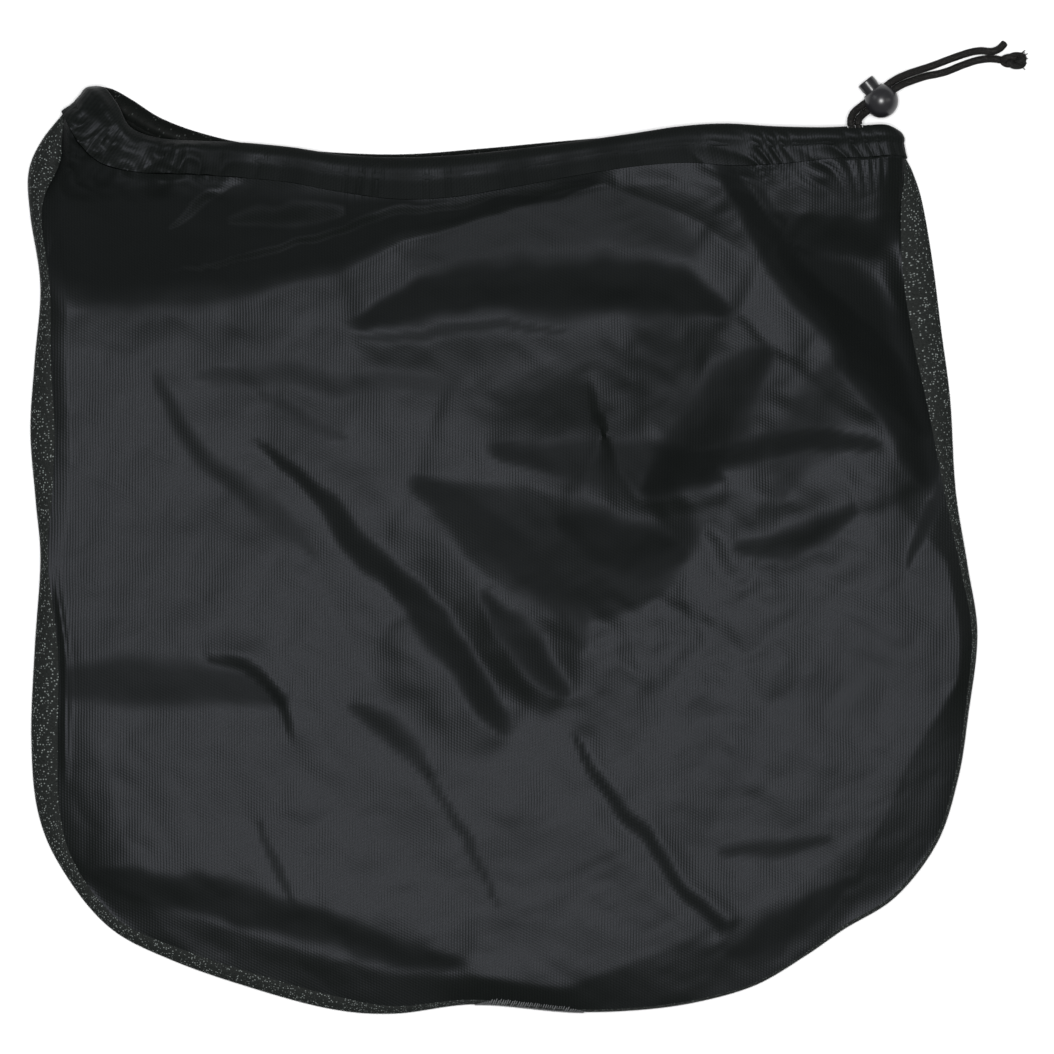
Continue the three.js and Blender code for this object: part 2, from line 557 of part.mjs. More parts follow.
function cordBody(route, steps) {
  const round = new THREE.Shape(Array.from({ length: CORD_SIDES }, (_, i) => {
    const angle = (i + 0.5) / CORD_SIDES * 2 * Math.PI;
    return new THREE.Vector2(Math.cos(angle), Math.sin(angle)).multiplyScalar(CORD / 2);
  }));
  return new THREE.ExtrudeGeometry(round, { steps, extrudePath: route });
}

const strandPitch = CORD + SEAM_GAP;
const exit = mouthAt(EXIT_ROW);
const EXIT_BEND = 3.2; // radius of the drawstring's turn from the tunnel to the buttonhole

function tunnelMiddle(t) {
  const { edge, down, depth } = mouthAt(t);
  const middle = HEM_CLOTH + Math.max(EYE_SHARE * depth, CORD / 2 + CORD_CLEARANCE);
  return edge.clone().addScaledVector(down, middle);
}

function drawstringRun() {
  const middle = HEM_CLOTH + Math.max(EYE_SHARE * exit.depth, CORD / 2 + CORD_CLEARANCE);
  const near = (side, along, deep) => exit.edge.clone()
    .addScaledVector(exit.way, side * (strandPitch / 2 + along))
    .addScaledVector(exit.down, deep);
  const turned = EXIT_BEND * (1 - Math.SQRT1_2);
  const bend = (side) => [near(side, 0, 0), near(side, 0, middle - EXIT_BEND),
    near(side, turned, middle - turned)];
  const stops = [];
  const clear = strandPitch / 2 + EXIT_BEND;
  for (let t = Math.floor(EXIT_ROW * STEPS_PER_ROW) / STEPS_PER_ROW;
    t > EXIT_ROW - MOUTH.length; t -= 1 / STEPS_PER_ROW) {
    const point = tunnelMiddle(t);
    if (point.distanceTo(exit.edge) > clear + middle / 2) {
      stops.push(point);
    }
  }
  const route = [...bend(-1), near(-1, EXIT_BEND, middle), ...stops,
    near(1, EXIT_BEND, middle), ...bend(1).reverse()];
  return cordBody(new SteppedRoute(route.map((p) => p.toArray())), route.length - 1);
}

// The cord lock, about the ball's centre: x along the cord hole, y out along the button
const lockCentre = new THREE.Vector3(
  exit.edge.x + LOCK_PLACE[0], exit.edge.y + LOCK_PLACE[1], BALL / 2);
const slotHalf = strandPitch / 2 + CORD / 2 + CORD_CLEARANCE;
const slotLow = STRAND_SHIFT - slotHalf;
const slotHigh = STRAND_SHIFT + slotHalf;
const LOCK_SIDES = 24;

// A slot with round ends along x, from low to high in y
function slotCutter(low, high) {
  const half = CORD / 2 + CORD_CLEARANCE;
  const shape = new THREE.Shape();
  shape.absarc(0, high - half, half, 0, Math.PI);
  shape.absarc(0, low + half, half, Math.PI, 2 * Math.PI);
  const cutter = new THREE.ExtrudeGeometry(shape, {
    depth: 2 * BALL, bevelEnabled: false, curveSegments: LOCK_SIDES / 4 });
  return cutter.translate(0, 0, -BALL).rotateY(Math.PI / 2);
}

function lockBall() {
  const floor = slotLow - BUTTON_FLOOR - BUTTON_TRAVEL - BUTTON_CLEARANCE;
  const bore = new THREE.CylinderGeometry(
    BUTTON / 2 + BUTTON_CLEARANCE, BUTTON / 2 + BUTTON_CLEARANCE, BALL, LOCK_SIDES);
  bore.translate(0, floor + BALL / 2, 0);
  return geometryOf(solidOf(new THREE.SphereGeometry(BALL / 2, LOCK_SIDES, LOCK_SIDES * 2 / 3))
    .subtract(solidOf(bore)).subtract(solidOf(slotCutter(slotLow, slotHigh))));
}

function lockButton() {
  const base = slotLow - BUTTON_FLOOR;
  const tip = BALL / 2 + BUTTON_PROUD;
  const profile = [[0, base], [BUTTON / 2, base], [BUTTON / 2, tip - BUTTON_EDGE],
    [BUTTON / 2 - BUTTON_EDGE, tip], [0, tip]].map(([x, y]) => new THREE.Vector2(x, y));
  return geometryOf(solidOf(new THREE.LatheGeometry(profile, LOCK_SIDES))
    .subtract(solidOf(slotCutter(slotLow, slotHigh + BUTTON_TRAVEL))));
}

// The buttonhole in the mouth's folded edge, wide enough for the two strands
function buttonhole() {
  const deep = HEM_CLOTH + EYE_SHARE * exit.depth;
  const hole = new THREE.BoxGeometry(2 * slotHalf, 2 * deep, CORD + 2 * CORD_CLEARANCE);
  hole.applyMatrix4(new THREE.Matrix4()
    .makeBasis(exit.way, exit.down.clone().negate(), exit.out).setPosition(exit.edge));
  return solidOf(hole);
}

// The knot: a lumpy round body, flattened where it lies and drawn in at its sides
const KNOT_SIDES = 14;
const KNOT_BANDS = 10;

function knotBody() {
  const knot = new THREE.SphereGeometry(0.5, KNOT_SIDES, KNOT_BANDS);
  const places = knot.attributes.position;
  const lump = new THREE.Vector3();
  for (let i = 0; i < places.count; i += 1) {
    lump.fromBufferAttribute(places, i);
    const aside = (1 + Math.cos(2 * Math.atan2(lump.z, lump.y))) / 2;
    const waist = 1 - KNOT_WAIST * Math.exp(-((lump.x / KNOT_WAIST_SPREAD) ** 2)) * aside;
    places.setXYZ(i, lump.x * KNOT_LENGTH, lump.y * KNOT_WIDTH * waist, lump.z * KNOT_HEIGHT);
  }
  return geometryOf(solidOf(knot));
}

const atLock = (points) => points.map(([x, y, z]) => [x + lockCentre.x, y + lockCentre.y, z]);
const STRAND_STEPS = 20;

const pouch = new THREE.Group();

// Finishes: colour and roughness
const MICROFIBRE = [0x2a2b2e, 0.7];
const KNIT = [0x2c2e2e, 0.8];
const CORD_BRAID = [0x1c1c1c, 0.85];
const BALL_PLASTIC = [0x0c0c0e, 0.2];
const BUTTON_PLASTIC = [0x101012, 0.25];

function piece(name, geometry, [color, roughness]) {
  const material = new THREE.MeshStandardMaterial({ color, roughness, metalness: 0 });
  const mesh = new THREE.Mesh(geometry, material);
  mesh.name = name;
  pouch.add(mesh);
  return mesh;
}

piece('front_panel', frontPanel(), MICROFIBRE);
piece('back_panel', backPanel(), KNIT);
piece('front_hem', geometryOf(
  solidOf(hemBody(LEFT_CORNER, RIGHT_CORNER)).subtract(buttonhole())), MICROFIBRE);
piece('back_hem', hemBody(RIGHT_CORNER, MOUTH.length), KNIT);
piece('drawstring_run', drawstringRun(), CORD_BRAID);
piece('drawstring_end_a', cordBody(new Route(atLock(STRAND_A)), STRAND_STEPS), CORD_BRAID);
piece('drawstring_end_b', cordBody(new Route(atLock(STRAND_B)), STRAND_STEPS), CORD_BRAID);

const knot = piece('drawstring_knot', knotBody(), CORD_BRAID);
knot.position.set(
  lockCentre.x + KNOT_PLACE[0], lockCentre.y + KNOT_PLACE[1], KNOT_HEIGHT / 2);
knot.rotation.z = KNOT_TURN * DEGREE;

const lock = new THREE.Group();
lock.position.copy(lockCentre);
lock.rotation.z = (LOCK_TURN - SQUARE) * DEGREE;
lock.add(piece('cord_lock_ball', lockBall(), BALL_PLASTIC));
lock.add(piece('cord_lock_button', lockButton(), BUTTON_PLASTIC));
pouch.add(lock);

export default pouch;
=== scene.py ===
"""A microfibre drawstring pouch lying flat, mouth away from the viewer, with its cord lock.

Shapes are worked out in millimetres on numpy grids and put into meshes in metres. The mouth, the
outline and the cord routes are those of the part's source, but the front cloth's seam lies nearer
to the edge in places, and the cloth lies lower, as on an empty pouch.
"""
import math

import bmesh
import bpy
import numpy as np
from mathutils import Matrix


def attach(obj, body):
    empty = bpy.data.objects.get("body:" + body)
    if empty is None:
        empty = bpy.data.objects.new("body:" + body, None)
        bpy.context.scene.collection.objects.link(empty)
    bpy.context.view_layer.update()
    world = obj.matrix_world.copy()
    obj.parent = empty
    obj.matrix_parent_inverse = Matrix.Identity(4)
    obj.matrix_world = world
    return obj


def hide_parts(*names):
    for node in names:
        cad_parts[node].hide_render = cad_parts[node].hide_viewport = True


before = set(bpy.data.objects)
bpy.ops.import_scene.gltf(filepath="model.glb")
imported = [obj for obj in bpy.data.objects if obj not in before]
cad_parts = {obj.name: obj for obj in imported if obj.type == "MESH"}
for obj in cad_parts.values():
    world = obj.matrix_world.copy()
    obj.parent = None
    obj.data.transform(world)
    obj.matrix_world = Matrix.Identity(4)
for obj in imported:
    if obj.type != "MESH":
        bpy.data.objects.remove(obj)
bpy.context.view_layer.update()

MM = 0.001

# Sizes in millimetres and degrees
POUCH_WIDTH = 419.0
POUCH_LENGTH = 409.0
PANEL_CLOTH = 1.2
HEM_CLOTH = 0.9
SEAM_GAP = 0.3
JOINT_GAP = 0.03
MOUTH_LIFT = 14.5
SEAM_HEIGHT = 9.0
RIM_HEIGHT = 4.6
RIM_TURN = 10.0
WRAP = 22.0
SEAM_LEAN = 55.0
WRAPPED_LEAN = 15.0
WRAPPED_SHARE = 0.5
SQUARE = 90.0
LANDING = 14.0
CORD = 3.0
CORD_CLEARANCE = 0.45
BALL = 15.0
BUTTON = 8.0
BUTTON_PROUD = 3.8
BUTTON_TRAVEL = 2.5
BUTTON_EDGE = 0.6
BUTTON_CLEARANCE = 0.35
BUTTON_FLOOR = 1.0
LOCK_TURN = 128.7
STRAND_SHIFT = 2.0
LOCK_PLACE = (11.7, 11.2)
KNOT_PLACE = (58.9, 18.0)
KNOT_SIZE = (11.5, 8.0, 6.4)
KNOT_CORD = 1.55
KNOT_STRETCH = 1.16
STRAND_SWELL = 0.12
CORD_BEND = 3.2
EYE_SHARE = 0.26
HEM_HALF = CORD / 2 + CORD_CLEARANCE + HEM_CLOTH
NUDGE = 0.05

# Mouth ring: x and y of the folded edge, x and y of the stitch line, lift
MOUTH = np.array([
    (-0.849, 1.000, -0.924, 0.972, 0.5), (-0.832, 0.997, -0.912, 0.959, 1.0),
    (-0.807, 0.980, -0.887, 0.937, 1.05), (-0.780, 0.956, -0.838, 0.915, 1.0),
    (-0.723, 0.945, -0.754, 0.906, 0.95), (-0.645, 0.942, -0.656, 0.904, 0.95),
    (-0.551, 0.940, -0.555, 0.901, 0.95), (-0.446, 0.935, -0.450, 0.896, 0.95),
    (-0.341, 0.927, -0.345, 0.886, 0.95), (-0.226, 0.924, -0.226, 0.878, 0.95),
    (-0.110, 0.926, -0.106, 0.880, 0.95), (0.016, 0.932, 0.026, 0.891, 1.0),
    (0.142, 0.940, 0.152, 0.903, 1.0), (0.268, 0.949, 0.278, 0.913, 1.05),
    (0.373, 0.957, 0.385, 0.917, 1.1), (0.467, 0.960, 0.484, 0.914, 1.05),
    (0.572, 0.957, 0.582, 0.916, 1.0), (0.677, 0.956, 0.687, 0.922, 0.85),
    (0.754, 0.958, 0.767, 0.924, 0.75), (0.805, 0.959, 0.817, 0.926, 0.72),
    (0.830, 0.953, 0.849, 0.923, 0.38), (0.805, 0.956, 0.817, 0.920, 0),
    (0.729, 0.953, 0.729, 0.915, 0), (0.603, 0.953, 0.603, 0.914, 0),
    (0.456, 0.956, 0.456, 0.916, 0), (0.289, 0.949, 0.289, 0.910, 0),
    (0.121, 0.942, 0.121, 0.902, 0), (-0.047, 0.934, -0.047, 0.895, 0),
    (-0.215, 0.928, -0.215, 0.888, 0), (-0.383, 0.931, -0.383, 0.891, 0),
    (-0.530, 0.939, -0.534, 0.899, 0), (-0.635, 0.951, -0.656, 0.910, 0),
    (-0.719, 0.967, -0.757, 0.926, 0), (-0.778, 0.986, -0.834, 0.944, 0),
    (-0.820, 0.998, -0.903, 0.961, 0),
])
RIGHT_CORNER = 20
MOUTH_ROWS = len(MOUTH)
CORNER_ROWS = 2
EXIT_ROW = 17.8

# Outline: x, y, wrap, rise, from the mouth's left corner round the bottom to its right corner
OUTLINE = np.array([
    (-0.924, 0.972, 0.04, 1.0), (-0.971, 0.942, 0.50, 1.1), (-0.998, 0.908, 0.54, 1.2),
    (-0.994, 0.861, 0.24, 1.2), (-0.973, 0.786, 0.20, 1.1), (-0.985, 0.705, 0.34, 1.1),
    (-0.994, 0.630, 0.50, 1.1), (-0.983, 0.555, 0.34, 1.1), (-0.973, 0.490, 0.16, 1.1),
    (-0.985, 0.394, 0.48, 1.1), (-0.992, 0.297, 0.54, 1.1), (-0.977, 0.216, 0.44, 1.0),
    (-0.924, 0.154, 0.28, 0.95), (-0.828, 0.094, 0.24, 0.9), (-0.698, 0.059, 0.28, 0.9),
    (-0.530, 0.029, 0.30, 0.9), (-0.362, 0.006, 0.28, 0.85), (-0.226, 0.001, 0.16, 0.85),
    (-0.058, 0.011, 0.10, 0.8), (0.142, 0.003, 0.06, 0.75), (0.289, 0.005, 0.06, 0.75),
    (0.414, 0.014, 0.06, 0.75), (0.534, 0.032, 0.06, 0.75), (0.637, 0.063, 0.06, 0.75),
    (0.719, 0.092, 0.08, 0.75), (0.828, 0.127, 0.08, 0.75), (0.916, 0.186, 0.08, 0.75),
    (0.960, 0.256, 0.08, 0.8), (0.981, 0.324, 0.08, 0.8), (1.000, 0.410, 0.12, 0.85),
    (0.979, 0.485, 0.16, 0.9), (0.954, 0.566, 0.24, 0.9), (0.943, 0.662, 0.48, 1.0),
    (0.924, 0.738, 0.60, 1.1), (0.906, 0.811, 0.62, 1.1), (0.884, 0.876, 0.44, 1.05),
    (0.864, 0.908, 0.20, 0.95), (0.849, 0.923, 0.04, 0.9),
])
OUTLINE_END = len(OUTLINE) - 1
LEFT_BEND = 12.7
RIGHT_BEND = 25.3

# Free strands, from the ball's centre in x and y and above the table in z
STRAND_A = np.array([
    (-13.38, -11.2, 11.87), (-13.58, -10.2, 11.85), (-13.6, -8.8, 11.3), (-13.1, -7.0, 10.4),
    (-12.1, -5.2, 9.3), (-10.7, -3.8, 8.2), (-8.91, -2.46, 7.5), (-7.74, -1.53, 7.5),
    (-6.18, -0.28, 7.5), (-2.28, 2.85, 7.5), (1.62, 5.98, 7.5), (3.18, 7.23, 7.5),
    (4.35, 8.16, 7.5), (7.4, 10.0, 7.0), (12.4, 12.2, 5.5), (17.6, 14.0, 3.6),
    (23.1, 15.9, 2.2), (32.3, 19.4, 1.7), (39.5, 21.7, 2.4), (44.1, 22.3, 4.1),
    (48.7, 21.9, 4.9), (52.2, 23.2, 3.9), (54.6, 25.6, 2.2),
])
STRAND_B = np.array([
    (-10.14, -10.58, 11.65), (-10.33, -9.6, 11.62), (-10.2, -8.7, 11.1), (-9.7, -7.7, 10.2),
    (-8.9, -6.8, 9.2), (-8.0, -5.9, 8.2), (-6.85, -5.04, 7.5), (-5.68, -4.1, 7.5),
    (-4.12, -2.85, 7.5), (-0.22, 0.27, 7.5), (3.68, 3.4, 7.5), (5.24, 4.65, 7.5),
    (6.41, 5.58, 7.5), (9.6, 7.4, 6.6), (14.6, 9.4, 4.2), (20.0, 11.2, 2.3),
    (25.5, 12.3, 1.7), (30.0, 13.6, 1.6), (35.6, 15.9, 1.6), (42.1, 18.1, 1.6),
    (47.4, 18.9, 1.8), (50.4, 18.8, 2.3), (52.9, 18.4, 2.9),
])


# Helpers
def through(rows, t, closed=False):
    """Smooth line through rows at row numbers t: cubic pieces whose slope at a row is half the
    step between its neighbours; a closed list runs on from its last row to its first."""
    count = len(rows)
    t = np.asarray(t, float)
    i = np.floor(t).astype(int)
    if not closed:
        i = np.clip(i, 0, count - 2)
    s = (t - i)[..., None]
    a, b, c, d = (rows[(i + k) % count] if closed else rows[np.clip(i + k, 0, count - 1)]
                  for k in (-1, 0, 1, 2))
    m, n = (c - a) / 2, (d - b) / 2
    return b + s * (m + s * (3 * (c - b) - 2 * m - n + s * (2 * (b - c) + m + n)))


def unit(v):
    return v / np.maximum(np.linalg.norm(v, axis=-1, keepdims=True), 1e-9)


def ease(s):
    s = np.clip(s, 0, 1)
    return s * s * (3 - 2 * s)


def mix(a, b, s):
    return a + (b - a) * s


def plan(across, along):
    return across * POUCH_WIDTH / 2, (along - 0.5) * POUCH_LENGTH


def height_of(lift):
    return HEM_HALF + lift * (MOUTH_LIFT - HEM_HALF)


def rows_of_mouth():
    ex, ey = plan(MOUTH[:, 0], MOUTH[:, 1])
    hx, hy = plan(MOUTH[:, 2], MOUTH[:, 3])
    z = height_of(MOUTH[:, 4])
    return np.stack([ex, ey, z, hx, hy, z], axis=1)


def rows_of_outline():
    x, y = plan(OUTLINE[:, 0], OUTLINE[:, 1])
    return np.stack([x, y, OUTLINE[:, 2] * WRAP, OUTLINE[:, 3]], axis=1)


# How far the front hem's folded edge hangs below its stitch line, row by row of the mouth, in mm
EDGE_DIP = np.array([0, 0, 0.5, 2, 3.2, 4.4, 4.8, 4.8, 4.6, 4.6, 4.6, 4.4, 3.8, 3.4, 3.0, 2.4, 1.4, 0]
                    + [0] * 17)

# How far the front cloth's seam lies lower than a full pouch's, row by row of the outline, in mm
SEAM_DIP = np.array([0, 0, 0, 0.8, 1.3, 1.5, 1.5, 1.5, 1.5, 1.6, 1.8, 2.2, 2.4, 2.4, 2.2, 2.2, 2.2, 1.8, 1.2,
                     0.6, 0.4, 0.6, 0.6, 0.4, 0.3, 0.2, 0.2, 0.4, 0.6, 0.8, 0.4, 1.0, 3.2, 4.8, 5.4,
                     4.6, 2.0, 0.0])

MOUTH_LINE = rows_of_mouth()
MOUTH_LINE[:, 2] -= EDGE_DIP
OUTLINE_LINE = rows_of_outline()


def mouth_at(t):
    """Frame of the mouth at row t: its edge, its stitch line, and unit vectors down the hem,
    out of the cloth and along the mouth."""
    t = np.asarray(t, float)
    both = through(MOUTH_LINE, t, True)
    edge, hem = both[..., :3].copy(), both[..., 3:].copy()
    edge[..., 2] = np.maximum(edge[..., 2], HEM_HALF)
    hem[..., 2] = np.maximum(hem[..., 2], HEM_HALF)
    step = through(MOUTH_LINE, t + NUDGE, True) - through(MOUTH_LINE, t - NUDGE, True)
    way = unit(step[..., :3] + step[..., 3:])
    down = hem - edge
    depth = np.linalg.norm(down, axis=-1)
    down = unit(down)
    out = unit(np.cross(down, way))
    return edge, depth, down, out, np.cross(out, down)


def seam_at(t):
    """The outline, the seam and the seam's mitre at row t of the outline."""
    t = np.asarray(t, float)
    x, y, wrap, rise = np.moveaxis(through(OUTLINE_LINE, t), -1, 0)
    step = (through(OUTLINE_LINE, np.minimum(t + NUDGE, OUTLINE_END))
            - through(OUTLINE_LINE, np.maximum(t - NUDGE, 0)))
    flat = np.zeros_like(x)
    out = unit(np.stack([step[..., 1], -step[..., 0], flat], -1))
    corner = np.maximum(ease(1 - t / CORNER_ROWS), ease(1 - (OUTLINE_END - t) / CORNER_ROWS))
    wrapped = ease(wrap / WRAP / WRAPPED_SHARE)
    lean = np.radians(mix(mix(SEAM_LEAN, WRAPPED_LEAN, wrapped), SQUARE, corner))[..., None]
    up = np.array([0.0, 0.0, 1.0])
    height = rise * SEAM_HEIGHT - np.interp(t, np.arange(len(SEAM_DIP)), SEAM_DIP)
    rim = np.stack([x, y, flat], -1)
    seam = rim - out * wrap[..., None] + up * height[..., None]
    normal = out * np.sin(lean) + up * np.cos(lean)
    across = -out * np.cos(lean) + up * np.sin(lean)
    return rim, out, wrap, height, seam, normal, across


def hem_line(t, side=0.0):
    """A panel's edge along the hem at mouth rows t, moved sideways at the corners."""
    edge, depth, down, out, way = mouth_at(t)
    return (edge + down * (depth + JOINT_GAP)[..., None] + out * (PANEL_CLOTH / 2)
            + way * np.asarray(side)[..., None])


def seeded(seed, *shape):
    return np.random.default_rng(seed).random(shape)


def wander(x, waves, seed):
    """A smooth random line: the sum of sines of the given wavelengths (mm) with seeded phases."""
    phase = seeded(seed, len(waves)) * 2 * math.pi
    return sum(np.sin(2 * math.pi * x / wave + p) for wave, p in zip(waves, phase)) / len(waves)


LATTICE_POINTS = 256
LATTICE_MIDDLE = 100


def lattice(x, y, size, seed, spin=0.0, long=1.0):
    """Smooth random heights from -1 to 1: seeded values on a lattice of the given size (mm),
    turned by spin and stretched along its first axis, eased between the lattice points."""
    turn = math.radians(spin)
    a = (x * math.cos(turn) + y * math.sin(turn)) / (size * long) + LATTICE_MIDDLE
    b = (y * math.cos(turn) - x * math.sin(turn)) / size + LATTICE_MIDDLE
    values = seeded(seed, LATTICE_POINTS, LATTICE_POINTS) * 2 - 1
    i, j = np.floor(a).astype(int), np.floor(b).astype(int)
    s, t = ease(a - i), ease(b - j)
    return mix(mix(values[i, j], values[i + 1, j], s), mix(values[i, j + 1], values[i + 1, j + 1], s), t)


def heights(x, y, table, creased=False):
    """Sum of random heights by a table: height and size in mm, seed, turn in degrees, stretch.
    Creased ones are turned up at zero, which leaves sharp valleys."""
    return sum(high * (np.abs(lattice(x, y, *rest)) if creased else lattice(x, y, *rest))
               for high, *rest in table)


# Making pieces
def link(name, verts, faces, material, body="pouch", uv=None, smooth_below=50.0, nap_and_shade=None):
    """Puts millimetre arrays into a mesh in metres, shades it smooth and gives it its finish.
    nap_and_shade says for each point, from 0 to 1, how far the cloth's pile is laid over; the finish paints
    shade into the colour where it is high."""
    mesh = bpy.data.meshes.new(name)
    mesh.from_pydata((np.asarray(verts) * MM).tolist(), [], [tuple(f) for f in faces])
    mesh.update()
    mesh.polygons.foreach_set("use_smooth", np.ones(len(mesh.polygons), dtype=bool))
    if uv is not None:
        layer = mesh.uv_layers.new(name="cloth")
        corner = np.empty(len(mesh.loops), dtype=np.int32)
        mesh.loops.foreach_get("vertex_index", corner)
        layer.data.foreach_set("uv", (np.asarray(uv)[corner] * MM).astype(np.float32).ravel())
    if nap_and_shade is not None:
        layer = mesh.attributes.new("nap_and_shade", "FLOAT", "POINT")
        layer.data.foreach_set("value", np.asarray(nap_and_shade, dtype=np.float32).ravel())
    if smooth_below:
        mesh.set_sharp_from_angle(angle=math.radians(smooth_below))
    obj = bpy.data.objects.new(name, mesh)
    bpy.context.scene.collection.objects.link(obj)
    mesh.materials.append(material)
    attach(obj, body)
    return obj


def outward(verts, faces):
    """Turns the faces round if the body's volume, summed over its corners, is below zero."""
    corners = [verts[faces[:, k]] for k in range(faces.shape[1])]
    volume = sum(np.einsum("ij,ij->i", corners[0], np.cross(corners[k], corners[k + 1])).sum()
                 for k in range(1, faces.shape[1] - 1))
    return faces[:, ::-1] if volume < 0 else faces


def grid_faces(rows, columns, ring=False):
    """Four-cornered faces of a grid, row by row; a ring joins its last column to its first."""
    i, j = np.meshgrid(np.arange(rows - 1), np.arange(columns if ring else columns - 1),
                       indexing="ij")
    k = (j + 1) % columns
    return np.stack([i * columns + j, i * columns + k, (i + 1) * columns + k,
                     (i + 1) * columns + j], -1).reshape(-1, 4)


def two_skins(outer, inner, faces):
    """Two copies of one grid, the second turned round, joined along every open edge."""
    count = len(outer)
    start = faces.ravel()
    end = np.roll(faces, -1, axis=1).ravel()
    there = start.astype(np.int64) * count + end
    back = end.astype(np.int64) * count + start
    open_edge = ~np.isin(there, back)
    a, b = start[open_edge], end[open_edge]
    sides = np.stack([b, a, a + count, b + count], -1)
    both = np.concatenate([faces, faces[:, ::-1] + count, sides])
    verts = np.concatenate([outer, inner])
    return verts, outward(verts, both)


def normals_of(grid, ring=False):
    """Unit normals of a (rows, columns, 3) grid from the steps to its neighbours."""
    if ring:
        along = np.roll(grid, -1, axis=1) - np.roll(grid, 1, axis=1)
    else:
        along = np.gradient(grid, axis=1)
    return unit(np.cross(along, np.gradient(grid, axis=0)))


# Camera, floor and light
# The photo's scale: mm for each of its pixels, its width, and the pixel of the part's origin
PIXEL = 0.44
FRAME_PIXELS = 1054
ORIGIN_PIXEL = (502.5, 551.0)
FRAME_SPAN = FRAME_PIXELS * PIXEL * MM
AIM = (10.8 * MM, 10.6 * MM)
CLOTH_TOP = 12 * MM
LENS = 240.0
SENSOR = 36.0

# Lights, in metres and watts: name, place, size, power, colour
LIGHTS = [
    ("overhead", (0.0, 0.02, 3.0), (0.8, 0.8), 90.0, (1, 1, 1)),
    ("window_left", (-1.3, 0.9, 1.3), (0.6, 0.9), 3.0, (0.95, 0.97, 1)),
    ("window_right", (1.4, 0.3, 1.3), (0.5, 1.0), 2.5, (1, 0.99, 0.96)),
]
FLOOR_SIDE = 6.0


def set_camera():
    """Straight above the aim, at the distance where the frame spans its width on the cloth."""
    data = bpy.data.cameras.new("camera")
    data.lens = LENS
    data.sensor_width = SENSOR
    data.clip_end = 20.0
    camera = bpy.data.objects.new("camera", data)
    distance = FRAME_SPAN * LENS / SENSOR
    camera.location = (*AIM, CLOTH_TOP + distance)
    bpy.context.scene.collection.objects.link(camera)
    bpy.context.scene.camera = camera


def area_light(name, place, size, power, colour):
    """A soft rectangular light that looks at the origin."""
    data = bpy.data.lights.new(name, "AREA")
    data.shape = "RECTANGLE"
    data.size, data.size_y = size
    data.energy = power
    data.color = colour
    light = bpy.data.objects.new(name, data)
    light.location = place
    way = -np.array(place)
    pitch = math.acos(-way[2] / np.linalg.norm(way))
    light.rotation_euler = (pitch, 0, math.atan2(way[1], way[0]) - math.pi / 2)
    bpy.context.scene.collection.objects.link(light)


def set_stage():
    """A plain white floor, a soft light above, two weak ones at the sides and a dim surround."""
    mesh = bpy.data.meshes.new("floor")
    side = FLOOR_SIDE
    mesh.from_pydata([(-side, -side, 0), (side, -side, 0), (side, side, 0), (-side, side, 0)],
                     [], [(0, 1, 2, 3)])
    floor = bpy.data.objects.new("floor", mesh)
    paint = bpy.data.materials.new("white_floor")
    paint.use_nodes = True
    shader = paint.node_tree.nodes["Principled BSDF"]
    shader.inputs["Base Color"].default_value = (0.93, 0.93, 0.93, 1)
    shader.inputs["Roughness"].default_value = 0.9
    shader.inputs["Specular IOR Level"].default_value = 0.0
    mesh.materials.append(paint)
    bpy.context.scene.collection.objects.link(floor)
    for light in LIGHTS:
        area_light(*light)
    world = bpy.data.worlds.new("surround")
    world.use_nodes = True
    world.node_tree.nodes["Background"].inputs["Color"].default_value = (0.97, 0.98, 1, 1)
    world.node_tree.nodes["Background"].inputs["Strength"].default_value = 0.25
    bpy.context.scene.world = world
    bpy.context.scene.view_settings.view_transform = "Standard"
    bpy.context.scene.view_settings.look = "None"


# Finishes
def new_group(name, inputs, outputs):
    """An empty shader node group with named value, vector or colour sockets."""
    tree = bpy.data.node_groups.new(name, "ShaderNodeTree")
    kinds = {"value": "NodeSocketFloat", "vector": "NodeSocketVector", "colour": "NodeSocketColor"}
    for label, kind, value in inputs:
        socket = tree.interface.new_socket(label, in_out="INPUT", socket_type=kinds[kind])
        if value is not None:
            socket.default_value = value
    for label, kind in outputs:
        tree.interface.new_socket(label, in_out="OUTPUT", socket_type=kinds[kind])
    return tree, tree.nodes.new("NodeGroupInput"), tree.nodes.new("NodeGroupOutput")


def maths(tree, operation, a, b=None, clamp=False):
    node = tree.nodes.new("ShaderNodeMath")
    node.operation = operation
    node.use_clamp = clamp
    for socket, value in zip(node.inputs, (a, b)):
        if value is None:
            continue
        if isinstance(value, (int, float)):
            socket.default_value = value
        else:
            tree.links.new(value, socket)
    return node.outputs[0]


def noise(tree, place, scale, detail=2.0, stretch=None):
    if stretch:
        mapping = tree.nodes.new("ShaderNodeMapping")
        mapping.inputs["Scale"].default_value = stretch
        tree.links.new(place, mapping.inputs["Vector"])
        place = mapping.outputs[0]
    node = tree.nodes.new("ShaderNodeTexNoise")
    node.inputs["Scale"].default_value = scale
    node.inputs["Detail"].default_value = detail
    tree.links.new(place, node.inputs["Vector"])
    return node.outputs["Fac"]


